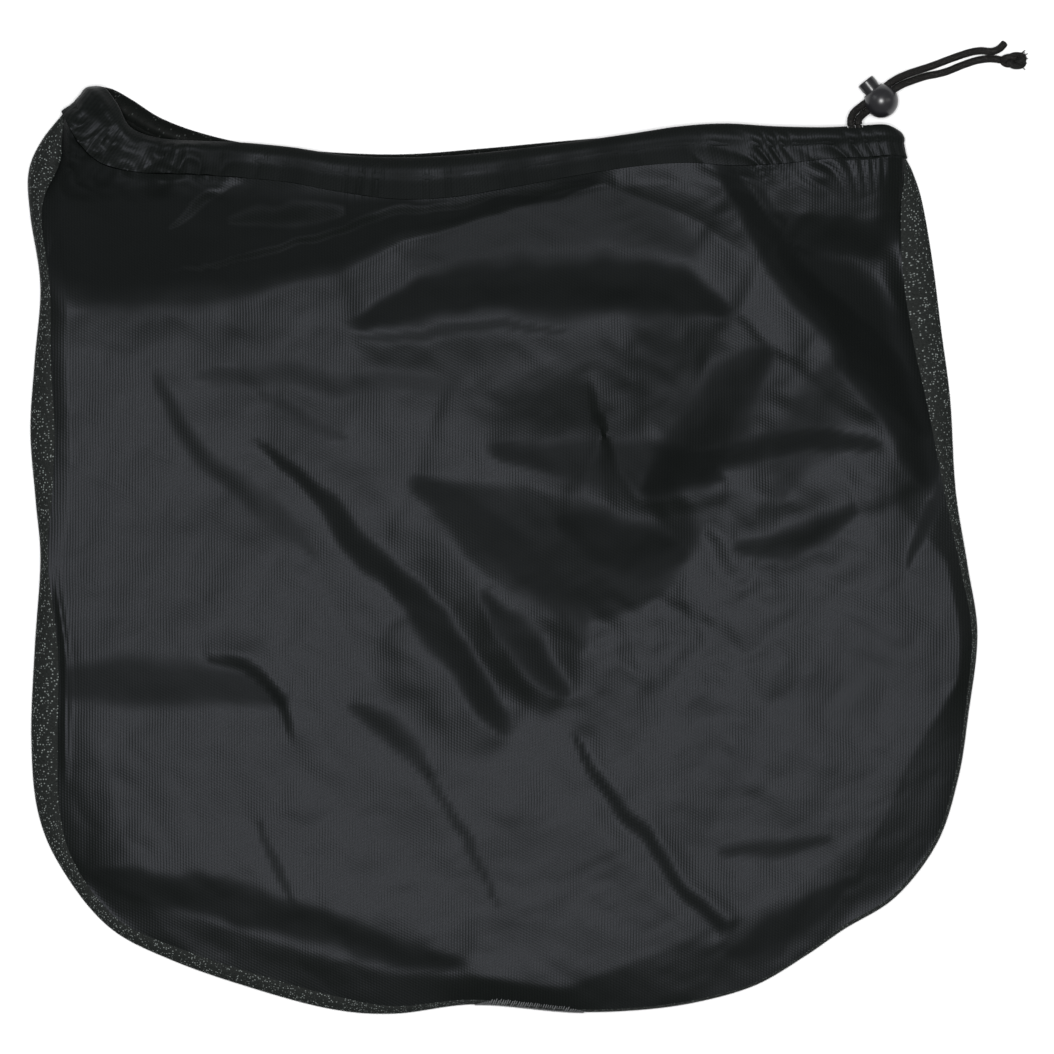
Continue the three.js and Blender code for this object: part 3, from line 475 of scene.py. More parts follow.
def ribs_group():
    """Fine knit ribs along v, with short slanting loops on them: height and a lit mask."""
    tree, given, put = new_group(
        "knit_ribs",
        [("Place", "vector", None), ("Pitch", "value", 0.00125), ("Slant", "value", 0.5)],
        [("Height", "value"), ("Rib_Light", "value")])
    split = tree.nodes.new("ShaderNodeSeparateXYZ")
    tree.links.new(given.outputs["Place"], split.inputs[0])
    turns = maths(tree, "DIVIDE", split.outputs[0], given.outputs["Pitch"])
    wobble = maths(tree, "MULTIPLY", noise(tree, given.outputs["Place"], 60.0), 0.9)
    rib = maths(tree, "SINE", maths(tree, "MULTIPLY", maths(tree, "ADD", turns, wobble),
                                    2 * math.pi))
    rows = maths(tree, "DIVIDE", split.outputs[1], given.outputs["Pitch"])
    lean = maths(tree, "ADD", maths(tree, "MULTIPLY", turns, given.outputs["Slant"]), rows)
    loop = maths(tree, "SINE", maths(tree, "MULTIPLY", maths(tree, "ADD", lean, wobble),
                                     2 * math.pi))
    height = maths(tree, "ADD", maths(tree, "MULTIPLY", rib, 0.35),
                   maths(tree, "MULTIPLY", loop, 0.16))
    tree.links.new(maths(tree, "ADD", height, 0.5), put.inputs["Height"])
    # painted light and shade on the ribs: their crests and loops lighter in the base colour
    lit = maths(tree, "ADD", maths(tree, "MULTIPLY", rib, 0.38), maths(tree, "MULTIPLY", loop, 0.16))
    tree.links.new(maths(tree, "ADD", lit, 0.5), put.inputs["Rib_Light"])
    return tree


def sparkle_group():
    """Painted glints on the loops of a coarser knit: round dots at the cell centres of a cell pattern."""
    tree, given, put = new_group(
        "knit_sparkle",
        [("Place", "vector", None), ("Pitch", "value", 0.0014), ("Share", "value", 0.5)],
        [("Height", "value"), ("Glints", "value")])
    scale = tree.nodes.new("ShaderNodeVectorMath")
    scale.operation = "DIVIDE"
    join = tree.nodes.new("ShaderNodeCombineXYZ")
    for k in range(3):
        tree.links.new(given.outputs["Pitch"], join.inputs[k])
    tree.links.new(given.outputs["Place"], scale.inputs[0])
    tree.links.new(join.outputs[0], scale.inputs[1])
    cells = tree.nodes.new("ShaderNodeTexVoronoi")
    cells.inputs["Scale"].default_value = 1.0
    cells.inputs["Randomness"].default_value = 0.75
    tree.links.new(scale.outputs[0], cells.inputs["Vector"])
    dot = maths(tree, "SUBTRACT", 1.0, maths(tree, "MULTIPLY", cells.outputs["Distance"], 2.7),
                clamp=True)
    tint = tree.nodes.new("ShaderNodeSeparateXYZ")
    tree.links.new(cells.outputs["Color"], tint.inputs[0])
    chosen = maths(tree, "LESS_THAN", tint.outputs[0], given.outputs["Share"])
    tree.links.new(maths(tree, "MULTIPLY", dot, chosen), put.inputs["Glints"])
    tree.links.new(dot, put.inputs["Height"])
    return tree


def blend_colours(tree, share, low, high):
    node = tree.nodes.new("ShaderNodeMix")
    node.data_type = "RGBA"
    node.inputs["A"].default_value = (*low, 1)
    node.inputs["B"].default_value = (*high, 1)
    tree.links.new(share, node.inputs["Factor"])
    return node.outputs["Result"]


def start_material(name):
    material = bpy.data.materials.new(name)
    material.use_nodes = True
    tree = material.node_tree
    return material, tree, tree.nodes["Principled BSDF"]


def cloth_place(tree):
    node = tree.nodes.new("ShaderNodeUVMap")
    node.uv_map = "cloth"
    return node.outputs["UV"]


def object_place(tree):
    return tree.nodes.new("ShaderNodeTexCoord").outputs["Object"]


def bump(tree, shader, height, distance, strength):
    node = tree.nodes.new("ShaderNodeBump")
    node.inputs["Distance"].default_value = distance
    node.inputs["Strength"].default_value = strength
    tree.links.new(height, node.inputs["Height"])
    tree.links.new(node.outputs[0], shader.inputs["Normal"])


def use_group(tree, group, place, **values):
    node = tree.nodes.new("ShaderNodeGroup")
    node.node_tree = group
    tree.links.new(place, node.inputs["Place"])
    for label, value in values.items():
        node.inputs[label].default_value = value
    return node


CLOTH_TINT = (0.86, 0.88, 1.0, 1)
KNIT_GROUND = (0.0028, 0.0034, 0.003)
YARN_DARK = (0.005, 0.0048, 0.0046)
YARN_PALE = (0.06, 0.056, 0.052)
FLAT_ROUGHER = 0.32
UPRIGHT_SMOOTHER = 0.37


def microfibre(name, dark, light, pitch, slant, roughness, gloss):
    """Smooth warp-knit microfibre: fine ribs, a soft mottle, and where the pile is laid over a
    rougher face that loses its gloss and painted shade, a darker tone in the base colour."""
    material, tree, shader = start_material(name)
    place = cloth_place(tree)
    pile_and_shade = tree.nodes.new("ShaderNodeAttribute")
    pile_and_shade.attribute_name = "nap_and_shade"
    upright_unshaded = maths(tree, "SUBTRACT", 1.0, pile_and_shade.outputs["Fac"], clamp=True)
    ribs = use_group(tree, GROUPS["ribs"], place, Pitch=pitch, Slant=slant)
    cloudy = noise(tree, place, 45.0, 4.0)
    fuzz = noise(tree, place, 1400.0, 3.0)
    tone = maths(tree, "ADD", maths(tree, "MULTIPLY", ribs.outputs["Rib_Light"], 0.45),
                 maths(tree, "ADD", maths(tree, "MULTIPLY", cloudy, 0.35),
                       maths(tree, "MULTIPLY", fuzz, 0.35)))
    # painted shade: where the pile is laid over, the tone falls to 0.4 of itself
    unshaded_tone = maths(tree, "ADD", 0.4, maths(tree, "MULTIPLY", upright_unshaded, 0.6))
    tone = maths(tree, "MULTIPLY", tone, unshaded_tone)
    tree.links.new(blend_colours(tree, tone, dark, light), shader.inputs["Base Color"])
    rough = maths(tree, "ADD", roughness + FLAT_ROUGHER, maths(tree, "MULTIPLY", fuzz, 0.1))
    rough = maths(tree, "SUBTRACT", rough, maths(tree, "MULTIPLY", upright_unshaded, UPRIGHT_SMOOTHER),
                  clamp=True)
    tree.links.new(rough, shader.inputs["Roughness"])
    shader.inputs["Specular IOR Level"].default_value = gloss
    shader.inputs["Specular Tint"].default_value = CLOTH_TINT
    height = maths(tree, "ADD", ribs.outputs["Height"], maths(tree, "MULTIPLY", fuzz, 0.4))
    bump(tree, shader, height, 0.00012, 0.4)
    return material


def knit_back(name, share, glint_colour):
    """Coarser mesh knit of the back: darker ground with small painted glints on its loops."""
    material, tree, shader = start_material(name)
    place = cloth_place(tree)
    glint_dots = use_group(tree, GROUPS["sparkle"], place, Pitch=0.0011, Share=share)
    fuzz = noise(tree, place, 1200.0, 3.0)
    # painted glints: the dots lift the base colour towards glint_colour
    tone = maths(tree, "ADD", maths(tree, "MULTIPLY", glint_dots.outputs["Glints"], 0.9),
                 maths(tree, "MULTIPLY", fuzz, 0.06), clamp=True)
    tree.links.new(blend_colours(tree, tone, KNIT_GROUND, glint_colour), shader.inputs["Base Color"])
    shader.inputs["Roughness"].default_value = 0.5
    shader.inputs["Specular IOR Level"].default_value = 0.03
    bump(tree, shader, glint_dots.outputs["Height"], 0.0002, 0.6)
    return material


def cord_finish(name):
    """Matte braided cord: dark yarns with a fine pale speckle along the braid."""
    material, tree, shader = start_material(name)
    place = object_place(tree)
    speck = noise(tree, place, 2600.0, 2.0)
    pale = maths(tree, "MULTIPLY", maths(tree, "SUBTRACT", speck, 0.55, clamp=True), 5.0,
                 clamp=True)
    tree.links.new(blend_colours(tree, pale, YARN_DARK, YARN_PALE), shader.inputs["Base Color"])
    shader.inputs["Roughness"].default_value = 0.75
    shader.inputs["Specular IOR Level"].default_value = 0.15
    bump(tree, shader, speck, 0.0001, 0.4)
    return material


def moulded(name, colour, roughness):
    """One colour with a faint texture in its roughness, for moulded plastic and for thread."""
    material, tree, shader = start_material(name)
    place = object_place(tree)
    wear = noise(tree, place, 350.0, 3.0)
    tree.links.new(maths(tree, "ADD", roughness - 0.04, maths(tree, "MULTIPLY", wear, 0.08)),
                   shader.inputs["Roughness"])
    tree.links.new(blend_colours(tree, wear, colour, tuple(c * 1.3 for c in colour)),
                   shader.inputs["Base Color"])
    bump(tree, shader, wear, 0.00003, 0.2)
    return material


GROUPS = {"ribs": ribs_group(), "sparkle": sparkle_group()}
MICROFIBRE = microfibre("microfibre_face", (0.0025, 0.0032, 0.0028), (0.0072, 0.0085, 0.0077),
                        0.00125, 0.5, 0.38, 0.068)
HEM_FINISH = microfibre("microfibre_hem", (0.0028, 0.0035, 0.0031), (0.0085, 0.0099, 0.009),
                        0.0012, 0.6, 0.42, 0.072)
# The knit's bright dots are painted glints; the back hem's copy has fewer and darker ones, painted shade for
# a hem that lies in shadow.
KNIT = knit_back("knit_face", 0.85, (0.33, 0.365, 0.35))
BACK_HEM_SHADED_FINISH = knit_back("knit_hem_shaded", 0.35, (0.06, 0.066, 0.062))
CORD_FINISH = cord_finish("braided_cord")
BALL_FINISH = moulded("polished_plastic", (0.012, 0.012, 0.0135), 0.3)
BUTTON_FINISH = moulded("button_plastic", (0.012, 0.012, 0.013), 0.28)
THREAD_FINISH = moulded("sewing_thread", (0.1, 0.102, 0.106), 0.7)

set_camera()
set_stage()


# The cords
EXIT, EXIT_DEPTH, EXIT_DOWN, _, EXIT_WAY = mouth_at(EXIT_ROW)
LOCK = np.array([EXIT[0] + LOCK_PLACE[0], EXIT[1] + LOCK_PLACE[1], BALL / 2])


def tube(route, radius, sides, braid=0.0, carriers=8, lay=9.0):
    """Rings round a route. Each ring point stands off by the radius, plus a braid: the higher of
    two crossing sets of helical yarns, so many round the cord and so long a turn."""
    way = unit(np.gradient(route, axis=0))
    side = unit(np.cross(np.array([0.0, 0.0, 1.0]), way))
    up = np.cross(way, side)
    step = np.linalg.norm(np.diff(route, axis=0), axis=1)
    run = np.concatenate([[0], np.cumsum(step)])[:, None]
    angle = (np.arange(sides) / sides * 2 * math.pi)[None, :]
    left = np.cos(carriers * angle + 2 * math.pi * carriers * run / lay)
    right = np.cos(carriers * angle - 2 * math.pi * carriers * run / lay)
    high = np.maximum(left, right)
    reach = (radius + braid * (high - 0.6))[..., None]
    rings = (route[:, None, :] + side[:, None, :] * np.cos(angle)[..., None] * reach
             + up[:, None, :] * np.sin(angle)[..., None] * reach)
    faces = grid_faces(len(route), sides, ring=True)
    return rings, faces


def capped(rings, faces, ends=1.0):
    """Closes a tube with a fan at each end, its middle pushed out a little."""
    count, sides, _ = rings.shape
    verts = rings.reshape(-1, 3)
    way = unit(np.stack([rings[0].mean(0) - rings[1].mean(0),
                         rings[-1].mean(0) - rings[-2].mean(0)]))
    tips = np.stack([rings[0].mean(0), rings[-1].mean(0)]) + way * ends
    verts = np.concatenate([verts, tips])
    k = np.arange(sides)
    near = np.stack([k, (k + 1) % sides, np.full(sides, count * sides)], -1)
    far = np.stack([k + (count - 1) * sides, (k + 1) % sides + (count - 1) * sides,
                    np.full(sides, count * sides + 1)], -1)[:, ::-1]
    triangles = [tuple(f) for f in np.concatenate([near, far]).tolist()]
    quads = [tuple(f) for f in faces[:, ::-1].tolist()]
    return verts, quads + triangles


ROUTE_POINTS = 2000


def strand(name, rows, step=0.4):
    """A free strand: a braided tube through its rows, a ring every so many millimetres."""
    fine = through(rows, np.linspace(0, len(rows) - 1, ROUTE_POINTS))
    run = np.concatenate([[0], np.cumsum(np.linalg.norm(np.diff(fine, axis=0), axis=1))])
    count = int(run[-1] / step)
    at = np.linspace(0, run[-1], count)
    route = np.stack([np.interp(at, run, fine[:, k]) for k in range(3)], -1)
    rings, faces = tube(route, CORD / 2 + STRAND_SWELL, 32, braid=0.12)
    verts, faces = capped(rings, faces, 0.5)
    piece = link(name, verts, faces, CORD_FINISH, smooth_below=0)
    return piece, route, run[-1]


def at_lock(rows):
    return rows + np.array([LOCK[0], LOCK[1], 0.0])


strand_a, route_a, length_a = strand("strand_to_stub", at_lock(STRAND_A))
strand_b, route_b, length_b = strand("strand_to_knot", at_lock(STRAND_B))
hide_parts("drawstring_end_a")
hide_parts("drawstring_end_b")


FIRST_STOP = 17.5


def held_cord():
    """The stretch inside the hems: a plain tube through the tunnel's middle, all the way round."""
    def middle_of(t):
        edge, depth, down, _, _ = mouth_at(t)
        return edge + down * (HEM_CLOTH + np.maximum(EYE_SHARE * depth,
                                                    CORD / 2 + CORD_CLEARANCE))[..., None]
    pitch = CORD + SEAM_GAP
    deep = HEM_CLOTH + max(EYE_SHARE * EXIT_DEPTH, CORD / 2 + CORD_CLEARANCE)
    bend = CORD_BEND
    turned = bend * (1 - math.sqrt(0.5))

    def near(side, along, depth):
        return EXIT + EXIT_WAY * side * (pitch / 2 + along) + EXIT_DOWN * depth
    first = [near(-1, 0, 0), near(-1, 0, deep - bend), near(-1, turned, deep - turned),
             near(-1, bend, deep)]
    stops = middle_of(np.arange(FIRST_STOP, EXIT_ROW - MOUTH_ROWS, -0.5))
    clear = np.linalg.norm(stops - EXIT, axis=1) > pitch / 2 + bend + deep / 2
    last = [near(1, bend, deep), near(1, turned, deep - turned), near(1, 0, deep - bend),
            near(1, 0, 0)]
    rows = np.concatenate([first, stops[clear], last])
    route = through(rows, np.linspace(0, len(rows) - 1, len(rows) * 6))
    rings, faces = tube(route, CORD / 2 - 0.05, 16, braid=0.08, carriers=4)
    verts, faces = capped(rings, faces, 0.0)
    piece = link("cord_in_hem", verts, faces, CORD_FINISH, smooth_below=0)
    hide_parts("drawstring_run")


held_cord()


# Frayed yarns of the knot: how many, their radius, their shortest and longest length, where they
# leave the knot (beside its middle, and their spread across and up), and how far they turn,
# rise and bend
YARNS = 14
YARN = 0.2
YARN_LENGTH = (2.2, 3.8)
YARN_ROOT = 2.6
YARN_ACROSS = 5.2
YARN_HIGH = 3.0
YARN_TURN = 1.9
YARN_RISE = 0.6
YARN_BEND = 0.06


def frayed_yarn(centre, chance):
    """One yarn end: a thin tube that leaves the knot's far side in a seeded direction and bends."""
    across, high, turn, rise, long = chance
    turn = (turn - 0.5) * YARN_TURN
    start = centre + (YARN_ROOT, (across - 0.5) * YARN_ACROSS, (high - 0.6) * YARN_HIGH)
    way = np.array([math.cos(turn), math.sin(turn), (rise - 0.5) * YARN_RISE])
    bend = np.array([0, math.cos(turn * 3), 0.3]) * YARN_BEND
    s = np.linspace(0, mix(*YARN_LENGTH, long), 8)[:, None]
    return capped(*tube(start + way * s + bend * s ** 2, YARN, 6), 0.1)


def joined(bodies):
    """Several bodies' points and faces as one list of each."""
    verts, faces = np.empty((0, 3)), []
    for body, body_faces in bodies:
        faces += [tuple(k + len(verts) for k in face) for face in body_faces]
        verts = np.concatenate([verts, body])
    return verts, faces


def knot():
    """A tight overhand knot: a tube along a three-lobed closed line, squeezed to the knot's
    size, with a short fan of frayed yarn ends."""
    s = np.linspace(0, 2 * math.pi, 160)
    thick = KNOT_CORD
    ring = 2 + np.cos(3 * s)
    line = np.stack([ring * np.cos(2 * s) / 3 * (KNOT_SIZE[0] / 2 - thick),
                     ring * np.sin(2 * s) / 3 * (KNOT_SIZE[1] / 2 - thick),
                     np.sin(3 * s) * (KNOT_SIZE[2] / 2 - thick)], -1)
    centre = np.array([LOCK[0] + KNOT_PLACE[0], LOCK[1] + KNOT_PLACE[1], KNOT_SIZE[2] / 2])
    rings, faces = tube(line * (-KNOT_STRETCH, 1, 1) + centre, thick, 24, braid=0.12)
    yarns = [frayed_yarn(centre, chance) for chance in seeded(61, YARNS, 5)]
    verts, faces = joined([capped(rings, faces, 0.0)] + yarns)
    piece = link("knot_of_cord", verts, faces, CORD_FINISH, smooth_below=0)
    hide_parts("drawstring_knot")
    return piece


knot_piece = knot()


# The cord lock
def lathe(profile, sides):
    """A profile of (radius, along) turned round y into rings; turned_body closes ends on the axis with a
    fan.
    """
    angle = np.arange(sides) / sides * 2 * math.pi
    rings = np.stack([profile[:, None, 0] * np.cos(angle), np.broadcast_to(
        profile[:, None, 1], (len(profile), sides)), profile[:, None, 0] * np.sin(angle)], -1)
    return rings


def scene_body(name, verts, faces):
    """A closed object in the scene, its faces turned outwards."""
    mesh = bpy.data.meshes.new(name)
    mesh.from_pydata(verts.tolist(), [], faces)
    mesh.update()
    recalc(mesh)
    obj = bpy.data.objects.new(name, mesh)
    bpy.context.scene.collection.objects.link(obj)
    return obj


def turned_body(name, rings):
    """A closed object from rings whose first and last lie on the axis."""
    count, sides, _ = rings.shape
    verts = np.concatenate([rings[1:-1].reshape(-1, 3), rings[:1, 0], rings[-1:, 0]])
    faces = grid_faces(count - 2, sides, ring=True).tolist()
    k = np.arange(sides)
    low = np.stack([(k + 1) % sides, k, np.full(sides, (count - 2) * sides)], -1)
    high = np.stack([k + (count - 3) * sides, (k + 1) % sides + (count - 3) * sides,
                     np.full(sides, (count - 2) * sides + 1)], -1)
    return scene_body(name, verts, faces + low.tolist() + high.tolist())


def recalc(mesh):
    """Merges doubled points and turns every face of a closed mesh outwards."""
    shape = bmesh.new()
    shape.from_mesh(mesh)
    bmesh.ops.remove_doubles(shape, verts=shape.verts, dist=1e-5)
    bmesh.ops.recalc_face_normals(shape, faces=shape.faces)
    shape.to_mesh(mesh)
    shape.free()


def slot_body(name, low, high):
    """A cutter with round ends along x, from low to high in y."""
    half = CORD / 2 + CORD_CLEARANCE
    turn = np.linspace(0, math.pi, 17)
    top = np.stack([(high - half) + half * np.sin(turn), half * np.cos(turn)], -1)
    bottom = np.stack([(low + half) - half * np.sin(turn), -half * np.cos(turn)], -1)
    loop = np.concatenate([top, bottom])
    n = len(loop)
    verts = np.concatenate([np.column_stack([np.full(n, x), loop]) for x in (-BALL, BALL)])
    k = np.arange(n)
    sides = np.stack([k, (k + 1) % n, (k + 1) % n + n, k + n], -1).tolist()
    return scene_body(name, verts, sides + [list(range(n)), list(range(n, 2 * n))])


def carved(name, body, cutters, material, body_name, node):
    """The body less its cutters, taken to its place in the lock and put into a new piece."""
    for cutter in cutters:
        cut = body.modifiers.new("cut", "BOOLEAN")
        cut.operation = "DIFFERENCE"
        cut.solver = "EXACT"
        cut.object = cutter
    bpy.context.view_layer.update()
    shape = bpy.data.meshes.new_from_object(body.evaluated_get(
        bpy.context.evaluated_depsgraph_get()))
    verts = np.empty(len(shape.vertices) * 3)
    shape.vertices.foreach_get("co", verts)
    verts = verts.reshape(-1, 3)
    turn = math.radians(LOCK_TURN - 90)
    x = verts[:, 0] * math.cos(turn) - verts[:, 1] * math.sin(turn) + LOCK[0]
    y = verts[:, 0] * math.sin(turn) + verts[:, 1] * math.cos(turn) + LOCK[1]
    placed = np.column_stack([x, y, verts[:, 2] + LOCK[2]])
    faces = [tuple(p.vertices) for p in shape.polygons]
    piece = link(name, placed, faces, material, body_name, smooth_below=32)
    for used in (body, *cutters):
        bpy.data.objects.remove(used)
    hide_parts(node)
    return piece


def cord_lock():
    """A polished ball, bored for the button and slotted for the two strands, with a small raised
    collar round the bore; and the button, a rounded pin with the same slot."""
    slot_half = (CORD + SEAM_GAP) / 2 + CORD / 2 + CORD_CLEARANCE
    low, high = STRAND_SHIFT - slot_half, STRAND_SHIFT + slot_half
    bore = BUTTON / 2 + BUTTON_CLEARANCE
    reach = math.sqrt((BALL / 2) ** 2 - (bore + 0.6) ** 2)
    tilt = np.linspace(-math.pi / 2, math.asin(reach / (BALL / 2)), 60)
    round_part = np.stack([BALL / 2 * np.cos(tilt), BALL / 2 * np.sin(tilt)], -1)
    round_part[0, 0] = 0
    lip = np.array([(bore + 0.55, reach + 0.35), (bore + 0.25, reach + 0.45),
                    (bore, reach + 0.2), (bore, reach)])
    floor = low - BUTTON_FLOOR - BUTTON_TRAVEL - BUTTON_CLEARANCE
    hollow = np.array([(bore, floor), (0.0, floor)])
    ball = turned_body("ball_body", lathe(np.concatenate([round_part, lip, hollow]), 96))
    lock = carved("lock_ball", ball, [slot_body("strand_slot", low, high)], BALL_FINISH,
                  "pouch", "cord_lock_ball")
    tip = BALL / 2 + BUTTON_PROUD
    edge = np.linspace(0, math.pi / 2, 8)
    nose = np.stack([BUTTON / 2 - BUTTON_EDGE + BUTTON_EDGE * np.cos(edge),
                     tip - BUTTON_EDGE + BUTTON_EDGE * np.sin(edge)], -1)
    base = low - BUTTON_FLOOR
    pin = np.concatenate([[(0, base), (BUTTON / 2 - 0.3, base), (BUTTON / 2, base + 0.3)], nose,
                          [(BUTTON / 2 - 1.1, tip), (BUTTON / 2 - 1.3, tip - 0.12), (0, tip - 0.1)]])
    button = turned_body("button_body", lathe(pin, 72))
    push = carved("lock_push_button", button,
                  [slot_body("button_slot", low, high + BUTTON_TRAVEL)], BUTTON_FINISH,
                  "lock_button", "cord_lock_button")
    return lock, push


lock_ball, lock_button = cord_lock()


# The front panel
# Folds of the front cloth. Each is a band where the cloth runs downhill: at(x, y, width) gives the
# middle of the band and its width, in pixels of the photo (x right, y down), from one end to the
# other; high says which side of it stands higher, seen along it; tilt is its steepness in degrees;
# far is the distance in mm over which the cloth comes back to its level; crisp is 0 for soft edges
# and 1 for sharp ones; below is the share of the drop that lies below the level, a half if not
# given; nap_and_shade is how far the pile is laid over on it, from the tilt if not given. The laid
# pile is painted shade: it darkens the band's colour where the fold tilts away from the light, and
# a value below zero lightens a ridge inside a darker band, a painted highlight.
FOLDS = [
    dict(name="slope under the hem", high="left", tilt=3, far=20, crisp=0.7, below=0.3, nap_and_shade=0.9,
         at=[(30, 208, 190), (62, 208, 190), (103, 235, 140), (143, 240, 131), (200, 240, 130),
             (238, 238, 119), (269, 235, 108), (336, 233, 84), (403, 220, 42), (470, 208, 27),
             (571, 184, 14), (600, 170, 8)]),
    dict(name="drop below the right hem", high="left", tilt=9, far=50, crisp=0.8, nap_and_shade=0.5,
         at=[(735, 195, 5), (765, 218, 26), (805, 236, 38), (860, 238, 38), (900, 222, 30),
             (925, 205, 8)]),
    dict(name="thin ridge on it", high="left", tilt=9, far=9, crisp=0.2, nap_and_shade=-0.85,
         at=[(172, 274, 3), (310, 237, 9), (379, 220, 9), (448, 204, 8), (540, 189, 7),
             (588, 182, 3)]),
    dict(name="short ridge", high="left", tilt=9, far=9, crisp=0.2, nap_and_shade=-0.85,
         at=[(165, 224, 3), (193, 204, 9), (241, 181, 9), (262, 169, 3)]),
    dict(name="soft swell", high="left", tilt=8, far=14, crisp=0, nap_and_shade=-0.6,
         at=[(225, 218, 4), (290, 212, 22), (345, 212, 4)]),
    dict(name="crescent", high="left", tilt=12, far=55, crisp=0.3, nap_and_shade=0.7,
         at=[(345, 330, 6), (400, 308, 30), (450, 293, 46), (520, 285, 56), (590, 283, 60),
             (650, 289, 56), (700, 302, 36), (738, 322, 6)]),
    dict(name="streak under the crescent", high="left", tilt=7, far=15, crisp=0.2,
         at=[(355, 338, 3), (430, 333, 14), (500, 328, 12), (570, 322, 3)]),
    dict(name="triangle", high="left", tilt=9, far=70, crisp=0.8,
         at=[(404, 478, 6), (450, 500, 40), (500, 528, 88), (560, 556, 132), (610, 562, 120),
             (660, 548, 66), (706, 512, 8)]),
    dict(name="left side of the triangle", high="right", tilt=5, far=24, crisp=0.3,
         at=[(405, 474, 6), (450, 498, 24), (500, 538, 34), (545, 588, 36), (580, 630, 24),
             (592, 650, 5)]),
    dict(name="middle of the triangle", high="left", tilt=6, far=20, crisp=0,
         at=[(550, 516, 6), (600, 534, 44), (650, 548, 44), (690, 556, 5)]),
    dict(name="above the triangle", high="left", tilt=8, far=30, crisp=0.3, nap_and_shade=0.45,
         at=[(480, 452, 8), (560, 458, 44), (640, 470, 50), (700, 468, 30), (730, 470, 6)]),
    dict(name="right of the middle", high="left", tilt=11, far=40, crisp=0.3,
         at=[(640, 500, 6), (685, 458, 62), (715, 415, 74), (748, 372, 50), (772, 338, 8)]),
    dict(name="left of that", high="right", tilt=3, far=8, crisp=0.1, nap_and_shade=0.15,
         at=[(618, 305, 5), (652, 330, 40), (668, 366, 50), (664, 398, 30), (652, 424, 5)]),
    dict(name="over the straight band", high="left", tilt=6, far=30, crisp=0.1,
         at=[(770, 500, 6), (800, 440, 50), (820, 400, 50), (836, 350, 8)]),
    dict(name="long diagonal valley", high="left", tilt=14, far=26, crisp=0.6,
         at=[(250, 436, 3), (300, 478, 12), (340, 520, 20), (380, 567, 28), (420, 615, 34),
             (455, 665, 38), (487, 705, 34), (520, 738, 5)]),
    dict(name="wedge beside the valley", high="left", tilt=11, far=14, crisp=0.4,
         at=[(475, 588, 4), (500, 620, 28), (530, 650, 40), (555, 680, 28), (572, 698, 4)]),
    dict(name="right valley", high="right", tilt=12, far=45, crisp=0.7, nap_and_shade=0.8,
         at=[(716, 146, 14), (748, 205, 24), (775, 250, 32), (805, 292, 38), (840, 330, 44),
             (875, 368, 52), (905, 412, 60), (925, 458, 50), (938, 492, 6)]),
    dict(name="slope right of it", high="right", tilt=9, far=20, crisp=0.8, nap_and_shade=0.75,
         at=[(778, 240, 8), (808, 268, 40), (850, 300, 70), (885, 342, 76), (912, 388, 60),
             (938, 440, 10)]),
    dict(name="over the crescent", high="left", tilt=4, far=20, crisp=0.2, nap_and_shade=0.25,
         at=[(400, 268, 10), (460, 244, 44), (530, 222, 60), (600, 214, 62), (660, 228, 50),
             (705, 262, 10)]),
    dict(name="narrow band", high="right", tilt=9, far=8, crisp=0.2,
         at=[(746, 172, 4), (764, 195, 10), (784, 226, 4)]),
    dict(name="faint diagonal", high="left", tilt=5, far=20, crisp=0,
         at=[(158, 365, 6), (185, 430, 18), (230, 482, 22), (280, 522, 22), (325, 558, 6)]),
    dict(name="faint band", high="left", tilt=4.5, far=20, crisp=0,
         at=[(190, 372, 6), (260, 378, 24), (330, 382, 20), (440, 388, 20), (460, 396, 6)]),
    dict(name="fainter band", high="left", tilt=4, far=15, crisp=0,
         at=[(258, 398, 5), (305, 422, 16), (355, 442, 5)]),
    dict(name="under the right ridge", high="left", tilt=9, far=18, crisp=0.2,
         at=[(728, 545, 5), (780, 540, 34), (820, 527, 30), (862, 505, 5)]),
    dict(name="over the right ridge", high="right", tilt=8, far=18, crisp=0.1, nap_and_shade=0.5,
         at=[(690, 462, 5), (750, 446, 26), (820, 438, 22), (880, 448, 5)]),
    dict(name="tick", high="left", tilt=14, far=12, crisp=0.6,
         at=[(202, 651, 3), (235, 660, 12), (262, 678, 12), (280, 705, 8), (295, 738, 2)]),
    dict(name="dent", high="left", tilt=6.5, far=16, crisp=0.2,
         at=[(348, 698, 5), (385, 725, 28), (410, 750, 22), (434, 778, 5)]),
    dict(name="thin crease", high="left", tilt=6, far=8, crisp=0.5,
         at=[(425, 768, 5), (464, 833, 10), (500, 906, 4)]),
    dict(name="straight crease", high="left", tilt=13, far=10, crisp=0.6,
         at=[(572, 732, 3), (600, 772, 9), (640, 830, 11), (680, 885, 12), (724, 938, 12)]),
    dict(name="small crease", high="left", tilt=6, far=10, crisp=0.4,
         at=[(256, 824, 3), (276, 868, 9), (294, 908, 3)]),
    dict(name="left patch", high="left", tilt=3.5, far=30, crisp=0, nap_and_shade=0.4,
         at=[(50, 684, 20), (120, 680, 46), (190, 680, 40), (250, 690, 26), (290, 700, 5)]),
    dict(name="right rim fold", high="left", tilt=10, far=12, crisp=0.3,
         at=[(958, 462, 4), (935, 510, 16), (908, 572, 4)]),
    dict(name="bottom left roll", high="left", tilt=9, far=40, crisp=0.4,
         at=[(75, 878, 10), (130, 888, 36), (200, 893, 42), (300, 925, 38), (400, 955, 28),
             (470, 968, 8)]),
    dict(name="lower right patch", high="left", tilt=5, far=15, crisp=0,
         at=[(715, 850, 5), (770, 846, 20), (840, 840, 5)]),
    dict(name="beside the lower right kink", high="left", tilt=3, far=15, crisp=0, nap_and_shade=0.45,
         at=[(720, 962, 8), (770, 938, 34), (820, 905, 26), (850, 880, 6)]),
]


def from_pixels(points):
    return np.stack([(points[:, 0] - ORIGIN_PIXEL[0]) * PIXEL,
                     (ORIGIN_PIXEL[1] - points[:, 1]) * PIXEL], -1)


def to_pixels(x, y):
    return x / PIXEL + ORIGIN_PIXEL[0], ORIGIN_PIXEL[1] - y / PIXEL


